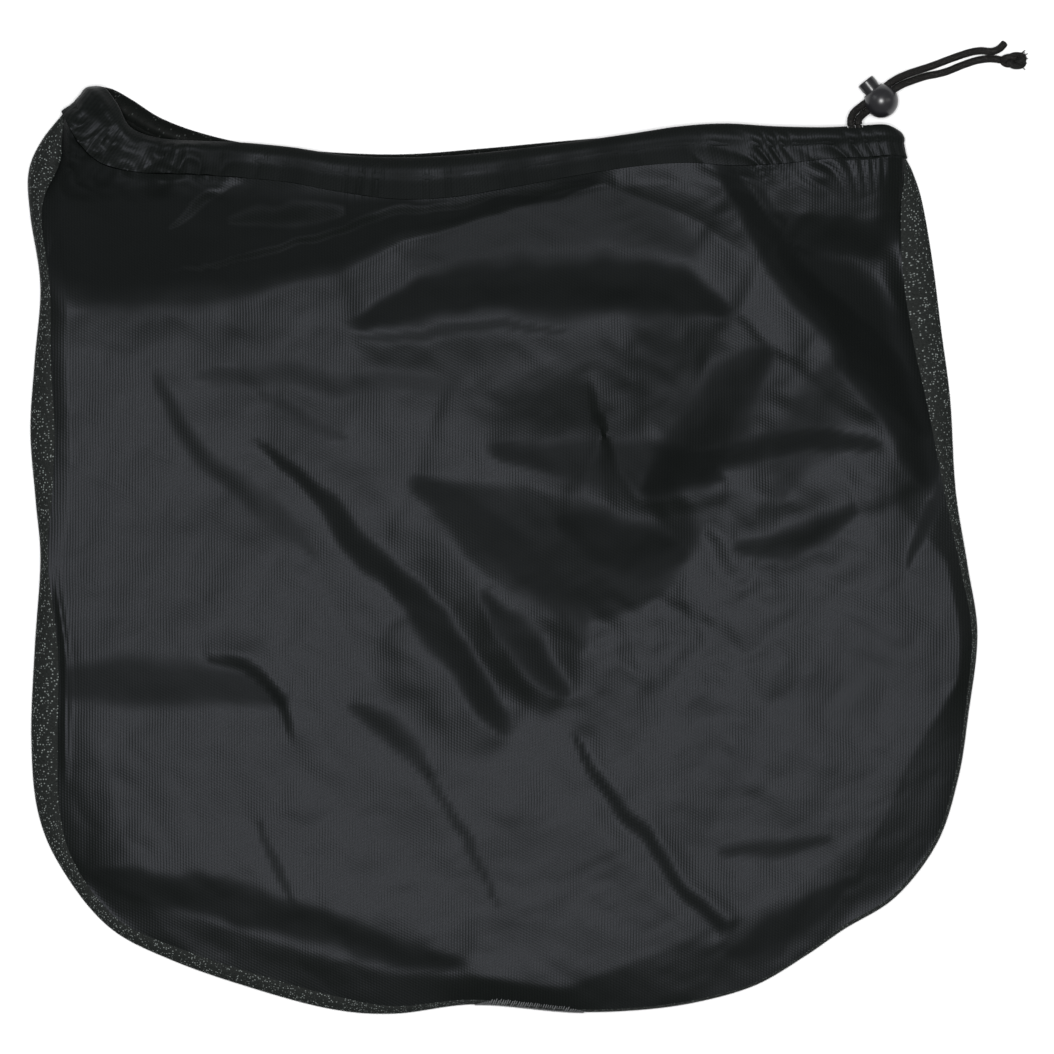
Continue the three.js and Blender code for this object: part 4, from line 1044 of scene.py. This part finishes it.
def beside(line, x, y):
    """Distance of points from a smooth line, above zero on its left, and the share along it."""
    rows = from_pixels(line)
    fine = through(rows, np.linspace(0, len(rows) - 1, 8 * (len(rows) - 1) + 1))
    a, b = fine[:-1], fine[1:]
    step = b - a
    size = (step ** 2).sum(1)
    px, py = x.reshape(-1, 1) - a[:, 0], y.reshape(-1, 1) - a[:, 1]
    s = np.clip((px * step[:, 0] + py * step[:, 1]) / size, 0, 1)
    dx, dy = px - s * step[:, 0], py - s * step[:, 1]
    gap = dx * dx + dy * dy
    best = gap.argmin(1)
    pick = np.arange(len(best))
    side = np.sign(step[best, 0] * py[pick, best] - step[best, 1] * px[pick, best])
    share = (best + s[pick, best]) / len(a)
    return (side * np.sqrt(gap[pick, best])).reshape(x.shape), share.reshape(x.shape)


# Share of a fold's length over which it grows from its end; the pile that a fold lays over for
# each degree, and at most, which is painted shade in the cloth's colour as well as a rougher face;
# the part of the half width where all of it is laid, and how fast it rises again beyond, for soft
# and for crisp folds
FOLD_END = 0.08
SHADE_NAP_TILT = 24
SHADE_NAP_MOST = 0.5
SHADE_NAP_CORE = 0.6
SHADE_NAP_FADE = (0.9, 0.45)


def folds_at(x, y):
    """Sum of the folds. Across its band each goes from half its drop below to half above along
    an S-curve, and beyond the band it comes back to nothing over the far distance; the drop is
    the band's width times its steepness, so it narrows and shallows to its ends. The places are
    first shifted a little by random heights, which makes the lines uneven. The second result is
    how far the pile is laid over, which the finish also shows as painted shade in the cloth's colour."""
    total, laid_and_shaded = np.zeros_like(x), np.zeros_like(x)
    x, y = (x + 3.0 * lattice(x, y, 24, 41) + 1.2 * lattice(x, y, 9, 42),
            y + 3.0 * lattice(x, y, 24, 43) + 1.2 * lattice(x, y, 9, 44))
    for fold in FOLDS:
        rows = np.array(fold["at"], float)
        aside, share = beside(rows[:, :2], x, y)
        width = np.interp(share * (len(rows) - 1), np.arange(len(rows)), rows[:, 2]) * PIXEL
        if fold["high"] == "right":
            aside = -aside
        v = np.clip(aside / (width / 2), -1, 1)
        across = mix((3 * v - v ** 3) / 2, v, fold["crisp"])
        back = 1 - ease((np.abs(aside) - width / 2) / fold["far"])
        drop = width * math.tan(math.radians(fold["tilt"]))
        level = (across + 1) / 2 - fold.get("below", 0.5)
        ends = ease(share / FOLD_END) * ease((1 - share) / FOLD_END)
        total += drop * level * back * ends
        band = 1 - ease((np.abs(aside) / (width / 2) - SHADE_NAP_CORE) / mix(*SHADE_NAP_FADE, fold["crisp"]))
        # The band's laid pile is painted shade on the fold, a darker cloth colour where it tilts away from
        # the light; below zero it lightens a ridge, a painted highlight.
        laid_and_shaded += band * ends * fold.get("nap_and_shade", min(fold["tilt"] / SHADE_NAP_TILT, SHADE_NAP_MOST))
    return total, laid_and_shaded


# Random heights of the front cloth and of its crumpled corner, as heights() reads them
SOFT_WAVES = [(0.9, 21, 21, -40, 1.9), (0.55, 14, 22, 15, 1.7)]
CREASES = [(0.5, 11, 23, -30, 1.7), (0.28, 7, 24, 25, 1.6)]
FINE_WAVES = [(0.1, 4, 25, -10, 1.5)]
LUMPS = [(3.8, 12, 31, 35, 1.3), (1.7, 6, 32, -30, 1.3)]
FINE_LUMPS = [(0.3, 3.2, 33, 10, 1.2)]

# The rougher part of the front: its middle and its spread in x and y
ROUGH_MIDDLE = (75, -5)
ROUGH_SPREAD = (70, 75)

# The crumpled corner: it grows to the left of and above these, over these distances
LUMPS_FROM = (-108, 153)
LUMPS_OVER = (26, 12)


def crinkles(x, y):
    """Small unevenness: soft long waves along the pull of the folds, and finer creased ones
    that are stronger right of the middle."""
    broad = heights(x, y, SOFT_WAVES)
    creased = heights(x, y, CREASES, True) + heights(x, y, FINE_WAVES)
    rough = np.exp(-((x - ROUGH_MIDDLE[0]) / ROUGH_SPREAD[0]) ** 2
                   - ((y - ROUGH_MIDDLE[1]) / ROUGH_SPREAD[1]) ** 2)
    return broad * (0.4 + 0.25 * rough) + creased * (0.4 + 0.6 * rough)


def slope(distance, width, power=2.2):
    """From 0 at an edge to 1 at the given distance, steep at first and level at its end."""
    return 1 - (1 - np.clip(distance / width, 0, 1)) ** power


# How wide the strips are over which the front cloth goes from its seams and from its hem to its
# level: the place along the edge in pixels of the photo, and the width in mm
LEFT_STRIP = np.array([(100, 30), (190, 9), (300, 7), (580, 7), (700, 16), (780, 24), (900, 34)])
RIGHT_STRIP = np.array([(180, 40), (430, 48), (500, 22), (560, 5), (680, 5), (760, 24), (900, 42)])
BOTTOM_STRIP = np.array([(120, 22), (350, 18), (450, 11), (560, 9), (640, 22), (700, 30), (880, 46)])
TOP_STRIP = np.array([(40, 85), (62, 85), (103, 61.6), (143, 57.6), (200, 57), (238, 52), (269, 47.5),
                      (336, 37), (403, 18), (470, 11.4), (571, 6), (605, 6), (640, 14), (700, 26),
                      (760, 44), (900, 60)])

# The level of the front cloth, in mm; its mound, as the middle and the spread in pixels; its lower
# upper left, as the pixel up to which and the distance over which it goes down
LEVEL = 9.0
MOUND = 3.5
MOUND_MIDDLE = (650, 170)
MOUND_SPREAD = (120, 70)
HOLLOW = 2.2
HOLLOW_FROM = (440, 720)
HOLLOW_OVER = 260

# The ridge of the seam allowance beside the left seam: height, distance and breadth in mm, and the
# rows of pixels between which it runs, eased over a third number
SEAM_RIDGE = 0.8
RIDGE_AT = 3.4
RIDGE_BREADTH = 1.6
RIDGE_ROWS = (560, 800, 60)

# Distances in mm over which folds fade out at the seams and at the hem, and gathers at the seams
FOLD_FADE = 12
HEM_FADE = 9
HEM_FADE_POWER = 1.5
GATHER_FADE = 4


def level_at(x, y):
    """The height of the front cloth away from its edges: flat, a little lower at the upper left,
    with a low mound under the hem where the folds start."""
    px, py = to_pixels(x, y)
    mound = np.exp(-((px - MOUND_MIDDLE[0]) / MOUND_SPREAD[0]) ** 2
                   - ((py - MOUND_MIDDLE[1]) / MOUND_SPREAD[1]) ** 2)
    hollow = (ease((HOLLOW_FROM[0] - px) / HOLLOW_OVER)
              * ease((HOLLOW_FROM[1] - py) / HOLLOW_OVER))
    return LEVEL + MOUND * mound - HOLLOW * hollow


def strip(distance, table, place, crisp):
    """1 at an edge, falling to 0 over the strip's width, along a curve or, where crisp, a line."""
    s = np.clip(distance / np.interp(place, table[:, 0], table[:, 1]), 0, 1)
    return 1 - mix(slope(s, 1, 1.3), s, crisp)


# Gathers along the mouth: row of the mouth, size in mm, pitch in mm, lean (mm along per mm across)
GATHERS = np.array([(0, 0.9, 9, 0.3), (4, 1.3, 9, 0.5), (6, 0.7, 12, 0.4), (8, 1.2, 11, 0.2),
                    (10, 1.2, 11, 0), (11, 0.6, 12, -0.2), (13, 0.4, 13, -0.4), (14.5, 0.7, 12, -0.9),
                    (15.5, 1.6, 10, -1.1), (17, 1.5, 9, -0.9), (18.5, 1.0, 8, -0.4), (20, 0.3, 8, 0)])
FINE_ROWS = np.linspace(0, MOUTH_ROWS, 7001)
FINE_RUN = np.concatenate([[0], np.cumsum(np.linalg.norm(np.diff(mouth_at(FINE_ROWS)[0], axis=0),
                                                         axis=1))])


def run_at(t):
    """The distance along the mouth's edge at row t, in mm."""
    return np.interp(t, FINE_ROWS, FINE_RUN)


GATHER_DEPTH = 16.5
GATHER_REACH = 17


def gathers(run, across):
    """Pleats drawn in by the stitching: rounded folds with sharp valleys between them, uneven in
    size, small at the folded edge, deepest at the stitch line and gone a little below it."""
    row = np.interp(run, FINE_RUN, FINE_ROWS)
    size, pitch, lean = (np.interp(row, GATHERS[:, 0], GATHERS[:, k]) for k in (1, 2, 3))
    turns = np.interp(row, FINE_ROWS, np.cumsum(
        np.gradient(FINE_RUN) / np.interp(FINE_ROWS, GATHERS[:, 0], GATHERS[:, 2])))
    place = turns + lean * across / pitch + 0.55 * wander(run, (61, 37), 4)
    pleat = 1.5 * np.sqrt(np.sqrt(np.sin(math.pi * place) ** 2 + 0.02)) - 1.0
    uneven = 0.55 + 0.45 * wander(run + 0.6 * across, (53, 29), 6)
    fine = 0.05 * np.sin(2 * math.pi * run / 4.7 + 3 * wander(run, (23, 17), 5))
    grown = 0.55 * ease(across / GATHER_DEPTH) + 0.45 * ease(across / 5)
    fade = 1 - ease((across - GATHER_DEPTH - 1) / GATHER_REACH)
    return (size * pleat * uneven + fine) * grown * fade


def lumps(x, y):
    """Crumpled cloth at the mouth's left corner: creased random heights, gone below and right."""
    creased = heights(x, y, LUMPS, True) + heights(x, y, FINE_LUMPS)
    right = ease((LUMPS_FROM[0] - x) / LUMPS_OVER[0])
    below = ease((y - LUMPS_FROM[1]) / LUMPS_OVER[1])
    return creased * right * below


def patch_of(left, right, bottom, top):
    """A patch stretched between four edges: opposite edges mixed, less the mixed corners."""
    u = np.linspace(0, 1, len(bottom))[None, :, None]
    v = np.linspace(0, 1, len(left))[:, None, None]
    corners = mix(mix(bottom[0], bottom[-1], u), mix(top[0], top[-1], u), v)
    return mix(left[:, None], right[:, None], u) + mix(bottom[None], top[None], v) - corners


def front_panel(columns=240, rows=185):
    """The front panel: the patch between its seams and the hem line, taken to its level over the
    strips along its edges, folded and gathered, then given its wall."""
    def seam_edge(t):
        _, _, _, _, seam, normal, across = seam_at(t)
        return seam + across * JOINT_GAP / 2, normal
    t = np.linspace(0, RIGHT_CORNER, columns)
    top = hem_line(t)
    bottom, bottom_normal = seam_edge(np.linspace(LEFT_BEND, RIGHT_BEND, columns))
    left, left_normal = seam_edge(np.linspace(LEFT_BEND, 0, rows))
    right, right_normal = seam_edge(np.linspace(RIGHT_BEND, OUTLINE_END, rows))
    left[-1], right[-1] = top[0], top[-1]
    grid = patch_of(left, right, bottom, top)
    x, y = grid[..., 0], grid[..., 1]
    from_left = x - left[:, None, 0]
    from_right = right[:, None, 0] - x
    from_bottom = y - bottom[None, :, 1]
    from_top = top[None, :, 1] - y
    px, py = to_pixels(x, y)
    level = level_at(x, y)
    near = [strip(from_left, LEFT_STRIP, py, 0), strip(from_right, RIGHT_STRIP, py, 0.4)]
    over = [strip(from_bottom, BOTTOM_STRIP, px, 0.3), strip(from_top, TOP_STRIP, px, 0.85)]
    sides = [left[:, None, 2] - level, right[:, None, 2] - level]
    ends = [bottom[None, :, 2] - level, top[None, :, 2] - level]
    z = level + sum(gap * share for gap, share in zip(sides + ends, near + over))
    for end, share in zip((0, -1), over):
        for side, part in zip((0, -1), near):
            z -= share * part * (grid[end, side, 2] - level)
    near_edge = (slope(from_left, FOLD_FADE) * slope(from_right, FOLD_FADE)
                 * slope(from_bottom, FOLD_FADE) * slope(from_top, HEM_FADE, HEM_FADE_POWER))
    folds, laid_and_shaded = folds_at(x, y)
    z += near_edge * (folds + crinkles(x, y))
    first, last, over_rows = RIDGE_ROWS
    z += (SEAM_RIDGE * np.exp(-((from_left - RIDGE_AT) / RIDGE_BREADTH) ** 2)
          * ease((py - first) / over_rows) * ease((last - py) / over_rows))
    _, depth, _, out, _ = mouth_at(t)
    drawn = gathers(run_at(t), depth[None, :] + from_top) + lumps(x, y)
    drawn *= ease(from_left / GATHER_FADE) * ease(from_right / GATHER_FADE)
    z += drawn
    z[-1] = grid[-1, :, 2] + drawn[-1]
    z[0], z[:, 0], z[:, -1] = grid[0, :, 2], grid[:, 0, 2], grid[:, -1, 2]
    grid[..., 2] = z
    normal = normals_of(grid)
    normal *= np.sign(normal[..., 2:3].mean())
    normal[-1] = out
    normal[0] = bottom_normal
    normal[:-1, 0], normal[:-1, -1] = left_normal[:-1], right_normal[:-1]
    inner = grid - normal * PANEL_CLOTH
    uv = grid[..., :2].reshape(-1, 2)
    verts, faces = two_skins(grid.reshape(-1, 3), inner.reshape(-1, 3),
                             grid_faces(rows, columns))
    # the folds' laid pile reaches the finish as painted shade and a rougher face
    piece = link("front_cloth", verts, faces, MICROFIBRE,
                 uv=np.concatenate([uv, uv]), nap_and_shade=np.tile(np.clip(laid_and_shaded, 0, 1).ravel(), 2))
    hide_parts("front_panel")
    return piece


front_cloth = front_panel()


# The back panel
SIDE_STEPS = 150
BOTTOM_STEPS = 170
ARC_STEPS = 14
RING_CLOTH = 30


def turned_edge():
    """The back panel's edge, turned up round the outline and over to the seams along two quarter
    arcs, and at its two ends along the hem line; and the outline's rows where it stops."""
    stops = np.concatenate([np.linspace(0, LEFT_BEND, SIDE_STEPS, endpoint=False),
                            np.linspace(LEFT_BEND, RIGHT_BEND, BOTTOM_STEPS, endpoint=False),
                            np.linspace(RIGHT_BEND, OUTLINE_END, SIDE_STEPS + 1)])
    rim, out, wrap, height, seam, _, across = seam_at(stops)
    k = np.linspace(0, 1, ARC_STEPS + 1)
    angle = (0.5 - k)[None, :] * math.pi
    middle = np.minimum(RIM_HEIGHT, height[:, None] * 0.6)
    reach = np.where(angle > 0, wrap[:, None], RIM_TURN)
    rise = np.where(angle > 0, height[:, None] - middle, middle)
    arc = (rim[:, None] - out[:, None] * (reach * (1 - np.cos(angle)))[..., None])
    arc[..., 2] = middle + rise * np.sin(angle)
    arc[..., 2] += lumps(arc[..., 0], arc[..., 1]) * np.sin(np.clip(k * 2, 0, 1) * math.pi)[None, :]
    arc[:, 0] = seam - across * JOINT_GAP / 2
    for end, start, way in ((0, 0, -1), (len(stops) - 1, RIGHT_CORNER, 1)):
        arc[end] = hem_line(start + way * CORNER_ROWS * k, np.where(k == 0, way * SEAM_GAP / 2, 0))
    return arc, stops


def back_panel():
    """The back panel: a flat patch on the table, its turned-up edge, and a strip that rises to
    the back hem."""
    arc, stops = turned_edge()
    count, steps, _ = arc.shape
    normal = -normals_of(arc)
    rim, out, _, _, _, mitre, _ = seam_at(stops)
    normal *= np.sign(np.einsum("ijk,ik->", normal, out))
    normal[1:-1, 0] = mitre[1:-1]
    inner = arc - normal * PANEL_CLOTH
    side = SIDE_STEPS
    ring = arc[:, -1]
    # the flat floor of the panel: a patch between the same edges
    left = ring[:side + 1][::-1]
    bottom = ring[side:side + BOTTOM_STEPS + 1]
    right = ring[side + BOTTOM_STEPS:]
    first, last = MOUTH_ROWS - CORNER_ROWS, RIGHT_CORNER + CORNER_ROWS
    t = np.linspace(first, last, len(bottom))
    top = hem_line(t)
    grid = patch_of(left, right, bottom, top)
    from_top = np.clip((top[None, :, 1] - grid[..., 1]) / LANDING, 0, 1)
    grid[..., 2] = top[None, :, 2] * (1 - ease(from_top))
    floor_normal = np.zeros_like(grid)
    floor_normal[..., 2] = -1
    floor_inner = grid - floor_normal * PANEL_CLOTH
    n_arc = arc.reshape(-1, 3)
    verts = np.concatenate([n_arc, grid.reshape(-1, 3)])
    inner_verts = np.concatenate([inner.reshape(-1, 3), floor_inner.reshape(-1, 3)])
    ring_faces = grid_faces(count, steps)
    rows, columns, _ = grid.shape
    floor_faces = grid_faces(rows, columns) + len(n_arc)
    swap = np.arange(len(verts))
    base = len(n_arc)
    swap[base + np.arange(rows) * columns] = (np.arange(side + 1)[::-1]) * steps + steps - 1
    swap[base + np.arange(columns)] = (side + np.arange(columns)) * steps + steps - 1
    swap[base + np.arange(rows) * columns + columns - 1] = (
        (side + columns - 1 + np.arange(rows)) * steps + steps - 1)
    faces = np.concatenate([ring_faces, swap[floor_faces][:, ::-1]])
    run = np.concatenate([[0], np.cumsum(np.linalg.norm(np.diff(rim, axis=0), axis=1))])
    width = np.linspace(0, RING_CLOTH, steps)
    uv_ring = np.stack(np.broadcast_arrays(run[:, None], width[None, :]), -1).reshape(-1, 2)
    uv = np.concatenate([uv_ring, grid[..., :2].reshape(-1, 2)])
    both, faces = two_skins(verts, inner_verts, faces)
    used = np.unique(faces)
    place = np.zeros(len(both), dtype=np.int64)
    place[used] = np.arange(len(used))
    piece = link("back_cloth", both[used], place[faces], KNIT,
                 uv=np.concatenate([uv, uv])[used])
    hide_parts("back_panel")
    return piece


back_cloth = back_panel()


# The hems
HEM_SIDES = 36
TAIL_TOP = 0.8
TAIL_UNDER = 0.62
TOP_SHARE = 0.75
UNDER_GATHER = 0.25
WINDOW_SIDES = 3

# The pile on the hem, which paints shade into its colour: laid over and darker in the middle,
# upright and lighter at its ends, which begin at these x and grow over these distances, and patchy
PILE_SHADE = 0.4
PILE_SHADE_ENDS = 0.42
PILE_SHADE_RIGHT = (90, 50)
PILE_SHADE_LEFT = (-120, 30)
PILE_SHADE_PATCHES = [(0.4, 10, 51, 60, 1.6)]


def hem(name, start, end, node, material, slot, ruche, steps, window=None):
    """A folded hem: a rounded fold, a tunnel round the cord and a flat stitched tail, its top
    face drawn into gathers whose depth grows towards the stitch line."""
    t = np.linspace(start, end, steps)
    edge, depth, down, out, way = mouth_at(t)
    shift = np.zeros(steps)
    shift[0], shift[-1] = SEAM_GAP / 2, -SEAM_GAP / 2
    run = run_at(t)
    sides = HEM_SIDES
    angle = np.arange(sides) / sides * 2 * math.pi
    share = (1 - np.cos(angle)) / 2
    eye_half = CORD / 2 + CORD_CLEARANCE
    eye_long = np.maximum(EYE_SHARE * depth, eye_half)
    tail = depth - JOINT_GAP
    top = np.sin(angle) > 0

    def skin(wall, gathers):
        nose = 2 * (eye_long + wall) / tail
        u = share[None, :]
        belly = np.sqrt(np.clip(1 - (2 * np.minimum(u / nose[:, None], 1) - 1) ** 2, 0, 1))
        flat_tail = np.where(top, TAIL_TOP, TAIL_UNDER)[None, :] if wall else 0.02
        past = ease((u / nose[:, None] - 0.5) / 0.4)
        thick = mix((eye_half + wall) * np.where(u < nose[:, None] / 2, belly, 1), flat_tail, past)
        sign = np.where(top, TOP_SHARE, -1.0)[None, :]
        up = sign * thick * (np.abs(np.sin(angle)) > 1e-6)[None, :]
        along = u * (tail[:, None] if wall else (HEM_CLOTH + 2 * eye_long)[:, None])
        if not wall:
            along = HEM_CLOTH + along * (2 * eye_long / (HEM_CLOTH + 2 * eye_long))[:, None]
            up = sign * (eye_half * np.abs(np.sin(angle)))[None, :] * np.ones_like(along)
        if gathers:
            crumpled = lumps(edge[:, None, 0] + down[:, None, 0] * along,
                             edge[:, None, 1] + down[:, None, 1] * along)
            facing_up = np.clip(out[:, None, 2], 0, 1)
            up = up + ((ruche(run[:, None], along) + crumpled * facing_up)
                       * np.where(top, 1.0, UNDER_GATHER)[None, :] * ease(u * 4))
        return (edge[:, None] + down[:, None] * along[..., None] + out[:, None] * up[..., None]
                + way[:, None] * shift[:, None, None])
    outer, inner = skin(HEM_CLOTH, True), skin(0, False)
    faces = grid_faces(steps, sides, ring=True)
    if window is not None:
        i, j = np.divmod(faces[:, 0], sides)
        gone = (np.abs(t[i] - EXIT_ROW) < window) & ((j < WINDOW_SIDES) | (j >= sides - WINDOW_SIDES))
        faces = faces[~gone]
    verts, faces = two_skins(outer.reshape(-1, 3), inner.reshape(-1, 3), faces)
    uv = np.stack(np.broadcast_arrays(run[:, None], (angle / math.pi * 16)[None, :]),
                  -1).reshape(-1, 2)
    x, y = outer[..., 0], outer[..., 1]
    ends = (ease((x - PILE_SHADE_RIGHT[0]) / PILE_SHADE_RIGHT[1]) + ease((PILE_SHADE_LEFT[0] - x) / PILE_SHADE_LEFT[1]))
    # painted shade on the hem: the laid pile darkens its colour, most in the middle
    pile_and_shade = PILE_SHADE - PILE_SHADE_ENDS * ends + heights(x, y, PILE_SHADE_PATCHES)
    piece = link(name, verts, faces, material, uv=np.concatenate([uv, uv]),
                 nap_and_shade=np.tile(np.clip(pile_and_shade, 0, 1).ravel(), 2))
    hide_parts(node)
    return piece


def scallops(run, across):
    """Gathers of the back hem: fine scallops, one for every few stitches."""
    wave = np.sin(2 * math.pi * run / 4.0 + 1.5 * wander(run, (31, 19), 7))
    return 0.55 * wave * (0.5 + 0.5 * wander(run, (90, 51), 8)) * np.sqrt(np.clip(across / 16, 0, 1))


front_hem = hem("front_hem_cloth", 0, RIGHT_CORNER, "front_hem", HEM_FINISH, "microfibre",
                gathers, 1100, window=0.24)
back_hem = hem("back_hem_cloth", RIGHT_CORNER, MOUTH_ROWS, "back_hem", BACK_HEM_SHADED_FINISH, "knit_back",
               scallops, 900)


# Overlock stitches: how far the thread stands above the seam and out of the rim, its lean along
# the seam, and over how many stitches they grow in and out
THREAD_PROUD = 0.35
THREAD_OUT = 0.25
STITCH_LEAN = 1.6
GROWN_AFTER = 8
FADED_BEFORE = 14


def overlock(first=18.0, last=19.15, pitch=1.0, reach=3.2, thread=0.22):
    """Overlock stitches that show at the bottom seam: arcs of thread over the seam's edge, each
    leaning along the seam, from the rim up to the front cloth."""
    t = np.linspace(first, last, 400)
    rim = seam_at(t)[0]
    run = np.concatenate([[0], np.cumsum(np.linalg.norm(np.diff(rim, axis=0), axis=1))])
    at = np.interp(np.arange(0, run[-1], pitch), run, t)
    rim, out, _, height, _, _, _ = seam_at(at)
    along = np.stack([-out[:, 1], out[:, 0], np.zeros(len(at))], -1)
    uneven = seeded(71, len(at))
    s = np.linspace(0, 1, 7)[:, None]
    swing = s * math.pi / 2
    stitches = []
    for k in range(len(at)):
        level = height[k] + THREAD_PROUD
        taper = 0.25 + 0.75 * ease(k / GROWN_AFTER) * ease((len(at) - k) / FADED_BEFORE)
        long = reach * taper * (0.8 + 0.4 * uneven[k])
        route = (rim[k] + out[k] * (THREAD_OUT - long * (1 - np.cos(swing)))
                 + along[k] * s * STITCH_LEAN
                 + np.array([0, 0, 1.0]) * (level * (0.45 + 0.55 * np.sin(swing))))
        stitches.append(capped(*tube(route, thread, 6), 0.05))
    verts, faces = joined(stitches)
    return link("seam_thread", verts, faces, THREAD_FINISH, smooth_below=0)


seam_thread = overlock()
